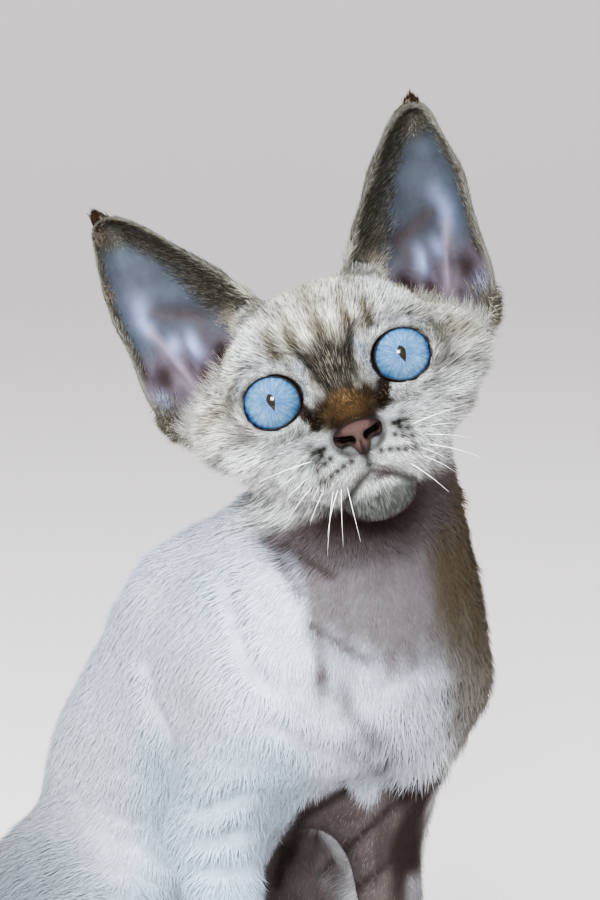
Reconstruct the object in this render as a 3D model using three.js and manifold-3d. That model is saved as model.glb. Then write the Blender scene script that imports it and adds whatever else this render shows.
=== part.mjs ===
// A Devon Rex kitten about four months old, sitting upright with its head turned and tilted.
// Millimetres, +Z up. The trunk faces -Y, the kitten's left is +X, and the floor is at z = 0.
// The whole body is one smooth field that is negative inside the kitten. Each piece is the part of
// its surface inside a few cutting planes, so neighbouring pieces meet on flat faces, GAP apart.
import * as THREE from "three";
import { mergeVertices } from "three/addons/utils/BufferGeometryUtils.js";
import Module from "manifold-3d";

const wasm = await Module();
wasm.setup();

// Driving sizes, in millimetres and degrees
const GAP = 0.3; // between neighbouring pieces
const THIN = 0.06; // how far faces may move to merge flat areas, per millimetre of grid
const SLIVER = 0.02; // the same on a finished piece
const HEAD_AT = [-3, -46, 209];
const HEAD_TURN = { yaw: -32, pitch: -7, tilt: -20.5 };
const EYE = { x: 16.8, y: -14.4, z: 0, globe: 9.6, gaze: 3.6 };
const CORNEA = { radius: 8.5, ahead: 2 };
const LIDS = { width: 14.5, height: 12.9, splay: 7, rim: 0.6, dome: [14, 9.4, 14], inner: 8, outer: 14.5 };
const SHOULDER_Z = 134;
const ELBOW_Z = 90;
const WRIST_Z = 25;
const FORELEG = { left: { elbowX: 24, pawX: 16.5 }, right: { elbowX: 28, pawX: 20.5 } };
const HAUNCH_X = 38;
const PAD = { spread: 4.9, arc: 1.6, fan: 5 }; // toes side by side on a paw
const EAR = { hollow: 15, rootThick: 2.4, tipThick: 1.3, ends: 0.985 };
const TUFT = { radius: 2.4, length: 9, flat: 0.6, lean: 30, at: [43.2, 12.6, 60.6] };
const TAIL = { root: 8.4, tip: 4.6, ends: [0, 0.33, 0.66, 1], part: 0.002, sides: 10 };
const FUR_PALE = 0xd9d3c6;
const FUR_POINT = 0x6f675b;
const NOSE_SKIN = 0x8a625c;
const IRIS_BLUE = 0x8fb4dc;

const rad = THREE.MathUtils.degToRad;
const lerp = THREE.MathUtils.lerp;

// Fields: functions of a point, about the distance to the surface, negative inside
function turned(centre, tilt, field) {
  const turn = new THREE.Matrix4().makeRotationFromEuler(new THREE.Euler(...tilt.map(rad)));
  const e = turn.transpose().elements;
  return (x, y, z) => {
    const [a, b, c] = [x - centre[0], y - centre[1], z - centre[2]];
    return field(
      e[0] * a + e[4] * b + e[8] * c,
      e[1] * a + e[5] * b + e[9] * c,
      e[2] * a + e[6] * b + e[10] * c,
    );
  };
}

function ellipsoid(centre, [rx, ry, rz], tilt = [0, 0, 0]) {
  return turned(centre, tilt, (x, y, z) => {
    const size = Math.hypot(x / rx, y / ry, z / rz);
    const slope = Math.hypot(x / rx ** 2, y / ry ** 2, z / rz ** 2);
    return slope < 1e-9 ? -Math.min(rx, ry, rz) : (size * (size - 1)) / slope;
  });
}

// A limb between two joints, with a radius at each
function limb(from, to, rFrom, rTo) {
  const [ux, uy, uz] = to.map((v, i) => v - from[i]);
  const span = ux * ux + uy * uy + uz * uz;
  return (x, y, z) => {
    const [a, b, c] = [x - from[0], y - from[1], z - from[2]];
    const t = Math.min(1, Math.max(0, (a * ux + b * uy + c * uz) / span));
    return Math.hypot(a - t * ux, b - t * uy, c - t * uz) - lerp(rFrom, rTo, t);
  };
}

const soften = (a, b, k) => Math.min(a, b) - Math.max(k - Math.abs(a - b), 0) ** 2 / (4 * k);
const blend = (k, ...fields) => (x, y, z) => {
  let d = fields[0](x, y, z);
  for (let i = 1; i < fields.length; i++) d = soften(d, fields[i](x, y, z), k);
  return d;
};
const carve = (k, field, tool) => (x, y, z) => -soften(-field(x, y, z), tool(x, y, z), k);
const bothSides = (field) => (x, y, z) => field(Math.abs(x), y, z);
const grown = (field, by) => (x, y, z) => field(x, y, z) - by;

// Grid lines from low to high: fine inside the fine range, coarse outside it
function lines(low, high, coarse, fine = coarse, fineLow = low, fineHigh = high) {
  const at = [low];
  while (at.at(-1) < high) {
    const v = at.at(-1);
    at.push(v + (v >= fineLow - coarse / 2 && v < fineHigh ? fine : coarse));
  }
  return at;
}

// The surface of a field inside a box of grid lines, one vertex in each cell that it crosses
function surfaceOf(field, [gx, gy, gz]) {
  const [nx, ny, nz] = [gx.length, gy.length, gz.length];
  const at = (i, j, k) => (i * ny + j) * nz + k;
  const value = new Float32Array(nx * ny * nz);
  for (let i = 0; i < nx; i++)
    for (let j = 0; j < ny; j++)
      for (let k = 0; k < nz; k++) {
        const edge = i * j * k === 0 || i === nx - 1 || j === ny - 1 || k === nz - 1;
        const d = field(gx[i], gy[j], gz[k]);
        value[at(i, j, k)] = edge ? Math.max(d, 0.5) : d;
      }
  const vertexOf = new Int32Array(nx * ny * nz).fill(-1);
  const position = [];
  const corners = [0, 1, 2, 3, 4, 5, 6, 7].map((c) => [c & 1, (c >> 1) & 1, c >> 2]);
  for (let i = 0; i < nx - 1; i++)
    for (let j = 0; j < ny - 1; j++)
      for (let k = 0; k < nz - 1; k++) {
        const sum = [0, 0, 0];
        let crossings = 0;
        for (const [a, b, c] of corners)
          for (const [da, db, dc] of [[1, 0, 0], [0, 1, 0], [0, 0, 1]]) {
            if (a + da > 1 || b + db > 1 || c + dc > 1) continue;
            const v = value[at(i + a, j + b, k + c)];
            const w = value[at(i + a + da, j + b + db, k + c + dc)];
            if (v < 0 === w < 0) continue;
            const t = v / (v - w);
            sum[0] += lerp(gx[i + a], gx[i + a + da], t);
            sum[1] += lerp(gy[j + b], gy[j + b + db], t);
            sum[2] += lerp(gz[k + c], gz[k + c + dc], t);
            crossings++;
          }
        if (!crossings) continue;
        vertexOf[at(i, j, k)] = position.length / 3;
        const cell = [[gx[i], gx[i + 1]], [gy[j], gy[j + 1]], [gz[k], gz[k + 1]]];
        position.push(...settled(field, sum.map((s) => s / crossings), cell));
      }
  const index = [];
  const quad = (inside, a, b, c, d) =>
    inside ? index.push(a, b, c, a, c, d) : index.push(a, c, b, a, d, c);
  for (let i = 0; i < nx - 1; i++)
    for (let j = 0; j < ny - 1; j++)
      for (let k = 0; k < nz - 1; k++) {
        const inside = value[at(i, j, k)] < 0;
        const cell = (a, b, c) => vertexOf[at(i - a, j - b, k - c)];
        if (inside !== value[at(i + 1, j, k)] < 0)
          quad(inside, cell(0, 0, 0), cell(0, 1, 0), cell(0, 1, 1), cell(0, 0, 1));
        if (inside !== value[at(i, j + 1, k)] < 0)
          quad(inside, cell(0, 0, 0), cell(0, 0, 1), cell(1, 0, 1), cell(1, 0, 0));
        if (inside !== value[at(i, j, k + 1)] < 0)
          quad(inside, cell(0, 0, 0), cell(1, 0, 0), cell(1, 1, 0), cell(0, 1, 0));
      }
  const geometry = new THREE.BufferGeometry();
  geometry.setAttribute("position", new THREE.Float32BufferAttribute(position, 3));
  geometry.setIndex(index);
  return geometry;
}

// A point moved along the field's slope onto the surface, without leaving its grid cell
function settled(field, [x, y, z], cell) {
  const step = 0.05;
  const d = field(x, y, z);
  const slope = [
    (field(x + step, y, z) - d) / step,
    (field(x, y + step, z) - d) / step,
    (field(x, y, z + step) - d) / step,
  ];
  const move = d / Math.max(Math.hypot(...slope) ** 2, 0.5);
  const margin = 0.04;
  return [x, y, z].map((v, i) => {
    const [low, high] = cell[i];
    return THREE.MathUtils.clamp(v - slope[i] * move, lerp(low, high, margin), lerp(high, low, margin));
  });
}

// Closed three.js geometry to a solid that can be joined and cut, and back
function solid(geometry) {
  const bare = geometry.clone();
  for (const name of Object.keys(bare.attributes))
    if (name !== "position") bare.deleteAttribute(name);
  const merged = mergeVertices(bare, 1e-4);
  return new wasm.Manifold(
    new wasm.Mesh({
      numProp: 3,
      vertProperties: new Float32Array(merged.attributes.position.array),
      triVerts: new Uint32Array(merged.index.array),
    }),
  );
}

function geometryOf(shape) {
  const largest = shape.decompose().sort((a, b) => b.volume() - a.volume())[0].simplify(SLIVER);
  const { vertProperties, triVerts } = largest.getMesh();
  const geometry = new THREE.BufferGeometry();
  geometry.setAttribute("position", new THREE.BufferAttribute(vertProperties.slice(), 3));
  geometry.setIndex(new THREE.BufferAttribute(triVerts.slice(), 1));
  geometry.computeVertexNormals();
  return geometry;
}

// A cutting plane through a point, kept side towards its normal
const plane = (point, normal) => {
  const n = new THREE.Vector3(...normal).normalize();
  return { n: n.toArray(), offset: n.dot(new THREE.Vector3(...point)) };
};
const flip = ({ n, offset }) => ({ n: n.map((v) => -v), offset: -offset });
const trim = (shape, planes, back = GAP / 2) =>
  planes.reduce((s, p) => s.trimByPlane(p.n, p.offset + back), shape);
const FAR = 600;
const wedge = (planes) => trim(solid(new THREE.BoxGeometry(FAR, FAR, FAR)), planes, -GAP / 2);

// Head, in its own frame: x to the kitten's left, -y out of the face, z up, eyes at z = 0
const headTurn = new THREE.Euler(
  rad(HEAD_TURN.pitch),
  rad(HEAD_TURN.tilt),
  rad(HEAD_TURN.yaw),
  "ZXY",
);
const headPlace = new THREE.Matrix4()
  .makeRotationFromEuler(headTurn)
  .setPosition(...HEAD_AT);
const toHead = headPlace.clone().invert();
const moved = (matrix, field) => {
  const e = matrix.elements;
  return (x, y, z) =>
    field(
      e[0] * x + e[4] * y + e[8] * z + e[12],
      e[1] * x + e[5] * y + e[9] * z + e[13],
      e[2] * x + e[6] * y + e[10] * z + e[14],
    );
};

const cranium = blend(
  9,
  ellipsoid([0, 5, 1], [30, 32, 24]),
  ellipsoid([0, -8.5, 9.5], [22, 15.5, 14]),
  bothSides(ellipsoid([18.5, -3, -9], [14.5, 18, 13.5])),
  ellipsoid([0, -8, -21], [18, 21, 12]),
);
const muzzle = blend(
  5,
  limb([0, -18, 1], [0, -35.5, -12.8], 9, 5.2),
  bothSides(ellipsoid([6.2, -31.5, -20.2], [8.4, 8.6, 7.2])),
  bothSides(ellipsoid([12.5, -23.5, -20], [9, 10, 8.6])),
);
const chin = ellipsoid([0, -25.8, -30.4], [9.8, 9.2, 7]);
const brows = bothSides(ellipsoid([15.5, -13.5, 8], [10, 7, 5.5]));

// The lids lie close round the eyeballs and run out into the face over a soft edge
const lidDome = ellipsoid([0, 0, 0], LIDS.dome);
function lidded(face) {
  const [c, s] = [Math.cos(rad(LIDS.splay)), Math.sin(rad(LIDS.splay))];
  return (x, y, z) => {
    const [dx, dy] = [Math.abs(x) - EYE.x, y - EYE.y];
    const ahead = dx * s - dy * c;
    if (ahead < 0) return face(x, y, z);
    const across = dx * c + dy * s;
    const weight = 1 - THREE.MathUtils.smoothstep(Math.hypot(across, z), LIDS.inner, LIDS.outer);
    return lerp(face(x, y, z), lidDome(across, ahead, z), weight);
  };
}
const faceForm = blend(5, blend(7, cranium, muzzle, brows), chin);
const headForm = lidded(faceForm);

// Trunk, neck and limbs, in the part's own frame
const trunk = blend(
  16,
  ellipsoid([0, -5, 126.5], [36.5, 60, 41], [-40, 0, 0]),
  bothSides(ellipsoid([14, 17, 138.5], [14, 29, 15], [-42, 0, 10])),
  ellipsoid([0, 40, 92], [36.5, 54, 41], [-52, 0, 0]),
  ellipsoid([0, 62, 41], [38, 40, 42]),
  ellipsoid([1, -50, 136], [24, 24, 28]),
  ellipsoid([19, -45, 152], [15, 17, 25], [0, 12, 0]),
);
const neck = limb([1, -34, 146], [7, -45, 184], 30, 22.5);

// Four toes in front of a paw, from its middle line
const toes = (x, y, wide, long) =>
  [-1.5, -0.5, 0.5, 1.5].map((n) =>
    ellipsoid([x + n * wide, y + PAD.arc * Math.abs(n), 5], [3.1, long, 5.7], [0, 0, n * PAD.fan]),
  );

function foreleg(side) {
  const { elbowX, pawX } = FORELEG[side];
  const s = side === "left" ? 1 : -1;
  const wristX = lerp(pawX, elbowX, 0.35);
  return {
    arm: blend(
      10,
      ellipsoid([s * 25, -38, SHOULDER_Z], [13, 24, 27], [25, 0, 0]),
      limb([s * 27, -48, SHOULDER_Z - 6], [s * elbowX, -24, ELBOW_Z], 14.5, 12),
      limb([s * elbowX, -26, ELBOW_Z], [s * wristX, -44, WRIST_Z], 11.5, 7.6),
    ),
    paw: blend(
      2.2,
      blend(
        5,
        limb([s * wristX, -44, WRIST_Z], [s * pawX, -49, 10], 7.4, 7.8),
        ellipsoid([s * pawX, -51, 5.8], [9.6, 9.5, 6.6]),
      ),
      ...toes(s * pawX, -60, PAD.spread, 6.6),
    ),
  };
}

function hindleg(s) {
  const toeX = HAUNCH_X + 5;
  return {
    thigh: blend(
      14,
      ellipsoid([s * HAUNCH_X, 44, 43], [21, 45, 36], [-8, 0, 0]),
      ellipsoid([s * (HAUNCH_X + 3), 8, 44], [14.5, 17, 20]),
      limb([s * (HAUNCH_X + 2), 10, 34], [s * (HAUNCH_X + 1), 64, 13], 13, 10),
    ),
    foot: blend(
      2.2,
      blend(
        5,
        limb([s * (HAUNCH_X + 1), 64, 8.5], [s * toeX, 4, 8], 8.8, 8),
        ellipsoid([s * toeX, 0, 5.9], [9.4, 10.5, 6.8]),
      ),
      ...toes(s * toeX, -10, PAD.spread - 0.1, 6.8),
    ),
  };
}

const arms = { left: foreleg("left"), right: foreleg("right") };
const legs = { left: hindleg(1), right: hindleg(-1) };
const upperBody = blend(
  12,
  blend(16, trunk, neck),
  arms.left.arm,
  arms.right.arm,
);
const body = blend(
  6,
  blend(17, upperBody, legs.left.thigh, legs.right.thigh),
  arms.left.paw,
  arms.right.paw,
  legs.left.foot,
  legs.right.foot,
  moved(toHead, headForm),
);

// Cutting planes between the pieces
const floor = plane([0, 0, 0], [0, 0, 1]);
const throatCut = plane(
  new THREE.Vector3(0, 16, -22).applyMatrix4(headPlace).toArray(),
  new THREE.Vector3(0, -0.49, 0.872).transformDirection(headPlace).toArray(),
);
const neckCut = plane([0, -38, 158], [0.05, -0.3, 0.95]);
const flankCut = plane([0, -6, 90], [0, -1, 0.28]);
const armPlanes = (s) => [
  plane([s * 0.3, 0, 0], [s, 0, 0]),
  plane([s * 9, 0, 82], [s * 0.951, 0, -0.309]),
  flankCut,
  plane([s * 26, -40, 158], [s * 0.35, 0, -0.94]),
  flip(neckCut),
];
const thighPlanes = (s) => [
  plane([s * 27, 0, 0], [s, 0, 0]),
  plane([s * 50, 46, 82], [s * 0.6, 0, -0.8]),
  flip(flankCut),
];
const pawCut = plane([0, -44, WRIST_Z - 3], [0, 0.25, -0.97]);
const footCut = plane([0, 40, 17], [0, 0.05, -1]);

// The body's surface in a box from low to high, with fewer faces where it is nearly flat
const bodyBlock = (low, high, spacing) =>
  solid(surfaceOf(body, [0, 1, 2].map((i) => lines(low[i], high[i], spacing)))).simplify(
    THIN * spacing,
  );

function pawPiece(side) {
  const s = side === "left" ? 1 : -1;
  const x = s * FORELEG[side].pawX;
  const block = bodyBlock([x - 15.5, -75, -6], [x + 16, -26, WRIST_Z + 6], 3.1);
  return trim(trim(block, [floor], 0), [pawCut, plane([s * 0.3, 0, 0], [s, 0, 0])]);
}

function armPiece(side) {
  const s = side === "left" ? 1 : -1;
  const block = bodyBlock([s > 0 ? -4 : -56, -88, WRIST_Z - 12], [s > 0 ? 56 : 4, 24, 178], 6.2);
  return trim(block, [...armPlanes(s), flip(pawCut)]);
}

function footPiece(s) {
  const block = bodyBlock([s > 0 ? 22 : -64, -26, -6], [s > 0 ? 64 : -22, 84, 30], 4);
  return trim(trim(block, [floor], 0), [footCut, plane([s * 27, 0, 0], [s, 0, 0])]);
}

function thighPiece(s) {
  const block = bodyBlock([s > 0 ? 20 : -72, -24, 6], [s > 0 ? 72 : -20, 118, 118], 7.6);
  return trim(block, [...thighPlanes(s), flip(footCut)]);
}

function trunkPiece() {
  const spread = [lines(-70, 70, 8), lines(-100, 130, 9, 6, -24, 14), lines(-8, 196, 9, 6, 56, 98)];
  const block = solid(surfaceOf(body, spread)).simplify(THIN * 8);
  const wedges = [1, -1].flatMap((s) => [wedge(armPlanes(s)), wedge(thighPlanes(s))]);
  const whole = trim(trim(block, [floor], 0), [flip(neckCut)]);
  return wedges.reduce((shape, w) => shape.subtract(w), whole);
}

const neckPiece = () =>
  trim(bodyBlock([-46, -92, 140], [52, 20, 206], 6.4), [neckCut, flip(throatCut)]);

// Head pieces, in the head's frame
const headLines = [
  lines(-48, 48, 6, 2.5, -23, 23),
  lines(-52, 48, 6, 2.5, -52, -14),
  lines(-52, 36, 6, 2.5, -41, 11),
];
const inHead = (p) => {
  const n = new THREE.Vector3(...p.n).transformDirection(toHead);
  const point = new THREE.Vector3(...p.n).multiplyScalar(p.offset).applyMatrix4(toHead);
  return { n: n.toArray(), offset: n.dot(point) };
};
const headSkin = moved(headPlace, body);

// The face's surface point in front of a spot (x, z), found by steps from ahead of it
function facePoint(x, z, sunk = 0) {
  const near = 0.02;
  let y = -60;
  while (headForm(x, y, z) > near && y < 20) y += Math.max(headForm(x, y, z) * 0.7, near);
  return new THREE.Vector3(x, y + sunk, z);
}

const aimed = (s, turn) =>
  new THREE.Matrix4().makeRotationZ(rad(s * turn)).setPosition(s * EYE.x, EYE.y, EYE.z);

function eyeball(s, extra = 0) {
  const globe = new THREE.SphereGeometry(EYE.globe + extra, 12, 8).rotateX(Math.PI / 2);
  const cornea = new THREE.SphereGeometry(CORNEA.radius + extra, 16, 10)
    .rotateX(Math.PI / 2)
    .translate(0, -CORNEA.ahead, 0);
  return solid(globe).add(solid(cornea)).transform(aimed(s, EYE.gaze).elements);
}

// The gap between the lids, and the raised rim round it
function lidGap(s) {
  const gap = new THREE.CylinderGeometry(1, 1.1, 16, 26)
    .scale(LIDS.width / 2, 1, LIDS.height / 2)
    .translate(0, -EYE.globe, 0);
  return solid(gap.applyMatrix4(aimed(s, LIDS.splay)));
}

function lidRim(s) {
  const { width, height, rim } = LIDS;
  const tube = 0.1;
  const ring = new THREE.TorusGeometry(1, tube, 6, 30).rotateX(Math.PI / 2);
  const spot = ring.attributes.position;
  for (let i = 0; i < spot.count; i++) {
    const around = Math.atan2(spot.getZ(i), spot.getX(i));
    const swell = ((Math.hypot(spot.getX(i), spot.getZ(i)) - 1) / tube) * rim;
    const x = (width / 2 + 0.6 * rim + swell) * Math.cos(around);
    const z = (height / 2 + 0.6 * rim + swell) * Math.sin(around);
    const seat = LIDS.dome[1] * Math.sqrt(1 - (x * x + z * z) / LIDS.dome[0] ** 2);
    spot.setXYZ(i, x, rim * (0.2 + spot.getY(i) / tube) - seat, z);
  }
  return solid(ring.applyMatrix4(aimed(s, LIDS.splay)));
}

// The nose leather, with the two nostrils and their slits
const nosePad = blend(
  1.2,
  ellipsoid([0, -38.9, -13.8], [5.1, 3.3, 2.6]),
  ellipsoid([0, -39.2, -17], [2.2, 2.6, 3.2]),
  bothSides(ellipsoid([4, -37.9, -14.6], [2.5, 3, 2.4])),
);
const nostrils = blend(
  0.8,
  bothSides(ellipsoid([3.5, -41, -15.2], [1.3, 2, 0.9])),
  bothSides(limb([4, -41.4, -15.4], [7.2, -38.6, -13.6], 0.8, 0.5)),
);
const noseBlock = (field, fine) =>
  solid(surfaceOf(field, [lines(-9.5, 9.5, fine), lines(-46, -33, fine), lines(-22, -9, fine)]));

// The mouth line: a groove down from the nose, then out to both corners
function mouthGroove() {
  const width = 1.3;
  const section = new THREE.Shape(
    [0, 0.4, 0.8, 1.2, 1.6].map((turn) => {
      const corner = new THREE.Vector2(width / 2, 0);
      return corner.rotateAround(new THREE.Vector2(), turn * Math.PI);
    }),
  );
  const tube = (points, steps) => {
    const extrudePath = new THREE.CatmullRomCurve3(points);
    return solid(new THREE.ExtrudeGeometry(section, { steps, extrudePath }));
  };
  const lip = (x, z) => facePoint(x, z, 0.15);
  const corners = [[10.3, -30.5], [8.8, -29.7], [6.2, -27.9], [3.2, -25.8], [0, -24.5]];
  const across = [
    ...corners.map(([x, z]) => lip(x, z)),
    ...corners.slice(0, -1).reverse().map(([x, z]) => lip(-x, z)),
  ];
  return tube(across, 22).add(tube([lip(0, -18.5), lip(0, -21.5), lip(0, -24.8)], 5));
}

function headPiece() {
  const block = solid(surfaceOf(headSkin, headLines)).simplify(THIN * 4.2);
  const skin = trim(block, [inHead(throatCut)]).add(lidRim(1)).add(lidRim(-1));
  const tools = [1, -1].flatMap((s) => [eyeball(s, GAP), lidGap(s)]);
  tools.push(noseBlock(grown(nosePad, GAP), 1.35), mouthGroove());
  return tools.reduce((shape, tool) => shape.subtract(tool), skin);
}

// The left ear: a thin scoop between its inner and outer edges, deepest near the base
const curve = (points) => new THREE.CatmullRomCurve3(points.map((p) => new THREE.Vector3(...p)));
const earInner = curve([
  [8, 0, 16], [12, -1, 26.5], [25.5, 4, 45.5], [35, 8.5, 56.6], [39.5, 10.5, 59.6], [42.5, 12, 60.4],
]);
const earOuter = curve([
  [33, 5, -9], [43.5, 7, 1], [48, 7.5, 12], [48.2, 8.5, 24],
  [49.5, 10.5, 39], [47.6, 12, 53], [45.6, 12.2, 59], [42.5, 12, 60.4],
]);
const earBack = new THREE.Vector3(-0.28, 0.95, -0.08).normalize();

// A point of the ear, u from -1 to 1 across it, t from root to tip, on its front or back side
function earPoint(u, t, side) {
  const across = (u + 1) / 2;
  const rim = earInner.getPoint(t).lerp(earOuter.getPoint(t), across);
  const hollow = EAR.hollow * Math.pow(1 - t, 0.75) * (1 - Math.abs(u * 0.98) ** 2.4);
  const thick = lerp(EAR.rootThick, EAR.tipThick, t) * (1 - 0.35 * Math.abs(u));
  return rim.addScaledVector(earBack, hollow - side * thick);
}

// A pointed tuft of hair behind the tip
function tipTuft() {
  const lock = new THREE.ConeGeometry(TUFT.radius, TUFT.length, 7, 2).rotateX(Math.PI / 2);
  return solid(lock.scale(1, TUFT.flat, 1).rotateY(rad(TUFT.lean)).translate(...TUFT.at));
}

function earSolid() {
  const sheet = new THREE.BoxGeometry(2, 1, 1, 8, 13, 1);
  const spot = sheet.attributes.position;
  for (let i = 0; i < spot.count; i++) {
    const t = Math.min(EAR.ends, spot.getY(i) + 0.5);
    spot.setXYZ(i, ...earPoint(spot.getX(i), t, spot.getZ(i)).toArray());
  }
  return solid(sheet).add(tipTuft());
}

const mirrored = (shape) => shape.transform(new THREE.Matrix4().makeScale(-1, 1, 1).elements);

function earPieces() {
  const spread = [lines(-46, 46, 3.4), lines(-52, 48, 3.4), lines(-40, 36, 3.4)];
  const seat = solid(surfaceOf(grown(headSkin, GAP), spread)).simplify(THIN * 3);
  const left = earSolid();
  return { left: left.subtract(seat), right: mirrored(left).subtract(seat) };
}

// Tail: a tapered tube laid on the floor round the left side, in lengths
const tailLine = curve([
  [0, 96, 22], [6, 112, 12], [26, 122, 6.6], [52, 112, 6.1], [70, 84, 5.7],
  [75, 50, 5.3], [72, 16, 4.8], [62, -12, 4.4], [50, -30, 4],
]);

function tailPiece(length, rings) {
  const [from, to] = [TAIL.ends[length] + (length && TAIL.part), TAIL.ends[length + 1]];
  const tube = new THREE.CylinderGeometry(1, 1, 1, TAIL.sides, rings);
  const spot = tube.attributes.position;
  const up = new THREE.Vector3(0, 0, 1);
  for (let i = 0; i < spot.count; i++) {
    const t = lerp(from, to, spot.getY(i) + 0.5);
    const along = tailLine.getTangentAt(t);
    const side = new THREE.Vector3().crossVectors(along, up).normalize();
    const lift = new THREE.Vector3().crossVectors(side, along);
    const taper = Math.sqrt(Math.min(1, (1.005 - t) * 14));
    const radius = lerp(TAIL.root, TAIL.tip, t) * taper;
    const point = tailLine
      .getPointAt(t)
      .addScaledVector(side, spot.getX(i) * radius)
      .addScaledVector(lift, spot.getZ(i) * radius);
    spot.setXYZ(i, ...point.toArray());
  }
  return solid(tube).trimByPlane(floor.n, 0);
}

// The scene
const kitten = new THREE.Group();
const head = new THREE.Group();
head.position.set(...HEAD_AT);
head.rotation.copy(headTurn);
kitten.add(head);

function add(group, name, shape, colour, roughness = 0.9) {
  const material = new THREE.MeshStandardMaterial({ color: colour, roughness, metalness: 0 });
  const mesh = new THREE.Mesh(geometryOf(shape), material);
  mesh.name = name;
  group.add(mesh);
}

add(head, "head", headPiece(), FUR_PALE);
const nose = noseBlock(carve(0.5, nosePad, nostrils), 1.25).simplify(THIN);
add(head, "nose", nose, NOSE_SKIN, 0.5);
const ears = earPieces();
for (const side of ["left", "right"]) {
  const s = side === "left" ? 1 : -1;
  add(head, `ear_${side}`, ears[side], FUR_POINT);
  add(head, `eye_${side}`, eyeball(s), IRIS_BLUE, 0.08);
  add(kitten, `foreleg_${side}`, armPiece(side), FUR_PALE);
  add(kitten, `forepaw_${side}`, pawPiece(side), FUR_POINT);
  add(kitten, `hindleg_${side}`, thighPiece(s), FUR_PALE);
  add(kitten, `hindpaw_${side}`, footPiece(s), FUR_POINT);
}
add(kitten, "neck", neckPiece(), FUR_PALE);
add(kitten, "torso", trunkPiece(), FUR_PALE);
const rump = [lines(-30, 40, 5), lines(50, 130, 5), lines(-10, 60, 5)];
const seatGap = solid(surfaceOf(grown(body, GAP), rump));
add(kitten, "tail_base", tailPiece(0, 12).subtract(seatGap), FUR_POINT);
add(kitten, "tail_middle", tailPiece(1, 10), FUR_POINT);
add(kitten, "tail_tip", tailPiece(2, 12), FUR_POINT);

// The origin is in the middle of the kitten's box, on the floor
const room = new THREE.Box3().setFromObject(kitten, true);
const middle = room.getCenter(new THREE.Vector3());
kitten.position.set(-middle.x, -middle.y, -room.min.z);

export default kitten;
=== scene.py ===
# %% [markdown]
# # A Devon Rex kitten with its coat on
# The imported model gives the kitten's flesh as plain solids, parted where a person would name the
# parts. Here one skin is drawn over all of them, so that no seam shows, and the coat, the eyes,
# the bare ears and the markings are made on top. The solids are loaded first and never change.

# %% Load the solids
import math
import time
from contextlib import contextmanager
from functools import partial

import bmesh
import bpy
import numpy as np
from mathutils import Euler, Matrix, Vector
from mathutils.kdtree import KDTree


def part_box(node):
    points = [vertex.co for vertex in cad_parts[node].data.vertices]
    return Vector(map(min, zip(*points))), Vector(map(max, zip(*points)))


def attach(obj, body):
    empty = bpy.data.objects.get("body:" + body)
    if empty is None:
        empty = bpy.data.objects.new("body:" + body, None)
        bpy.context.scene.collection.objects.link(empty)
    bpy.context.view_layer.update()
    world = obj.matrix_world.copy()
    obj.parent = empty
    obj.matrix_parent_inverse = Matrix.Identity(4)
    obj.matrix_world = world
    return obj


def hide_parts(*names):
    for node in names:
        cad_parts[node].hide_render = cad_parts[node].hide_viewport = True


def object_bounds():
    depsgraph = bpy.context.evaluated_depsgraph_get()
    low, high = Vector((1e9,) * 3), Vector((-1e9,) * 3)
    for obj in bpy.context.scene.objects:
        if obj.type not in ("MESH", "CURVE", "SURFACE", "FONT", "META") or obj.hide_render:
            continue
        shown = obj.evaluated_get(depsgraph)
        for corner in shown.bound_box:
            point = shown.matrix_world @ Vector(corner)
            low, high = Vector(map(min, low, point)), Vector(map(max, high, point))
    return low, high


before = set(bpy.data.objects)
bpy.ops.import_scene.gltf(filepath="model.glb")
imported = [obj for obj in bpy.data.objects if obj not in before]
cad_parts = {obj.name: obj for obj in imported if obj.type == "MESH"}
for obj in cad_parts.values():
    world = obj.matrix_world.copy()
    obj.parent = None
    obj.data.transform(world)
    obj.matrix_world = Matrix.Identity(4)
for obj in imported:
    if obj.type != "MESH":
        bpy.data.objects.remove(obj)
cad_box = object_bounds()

MM = 0.001
SIDES = ((1, "left"), (-1, "right"))
started = time.time()
rng = np.random.default_rng(7)


def tell(*words):
    """Prints what a cell has made, and when."""
    print(*words, "at", round(time.time() - started, 1), "s")


tell("solids:", len(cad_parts), "box in mm:", [[round(v * 1000) for v in c] for c in cad_box])

# %% [markdown]
# The head is turned, lowered and tilted, so everything on it is placed in a frame of its own:
# x to the kitten's left, -y out of the face and z up, in millimetres from the point between the
# eyeballs. Face features are the same left and right there, which a tilted head isn't.

# %% The head's own frame
HEAD_AT = (-13.94, -65.91, 209.0)
HEAD_TURN = Euler([math.radians(angle) for angle in (-7.0, -20.5, -32.0)], "YXZ")
head_place = Matrix.Translation(HEAD_AT) @ HEAD_TURN.to_matrix().to_4x4()
TO_HEAD = np.array(head_place.inverted())
FROM_HEAD = np.array(head_place)


def in_head(points):
    """Points in metres, to millimetres in the head's frame."""
    return (points / MM) @ TO_HEAD[:3, :3].T + TO_HEAD[:3, 3]


def from_head(points):
    """Millimetres in the head's frame, to metres in the part's frame."""
    return (np.asarray(points) @ FROM_HEAD[:3, :3].T + FROM_HEAD[:3, 3]) * MM


for _, word in SIDES:
    middle = (np.array(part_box(f"eye_{word}")).sum(0)) / 2
    print("eye", word, "in the head's frame:", in_head(middle[None]).round(1)[0])

# %% [markdown]
# The camera stands where the photographer's did: 32 degrees round to the kitten's right of the
# way its trunk faces, six degrees above its eyes and a metre away. A long lens keeps the face
# from looking stretched. The picture is upright, so the sensor's height sets the scale.

# %% Camera
PICTURE = (600, 900)
CAMERA_AZIMUTH = math.radians(-32.0)
CAMERA_HEIGHT = math.radians(6.0)
CAMERA_AWAY = 1000.0
PIXELS_PER_MM = 4.0
EYES_AT = Vector((-26.54, -86.11, 212.5))
EYES_PIXEL = (337, 376)
SENSOR = 36.0

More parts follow.
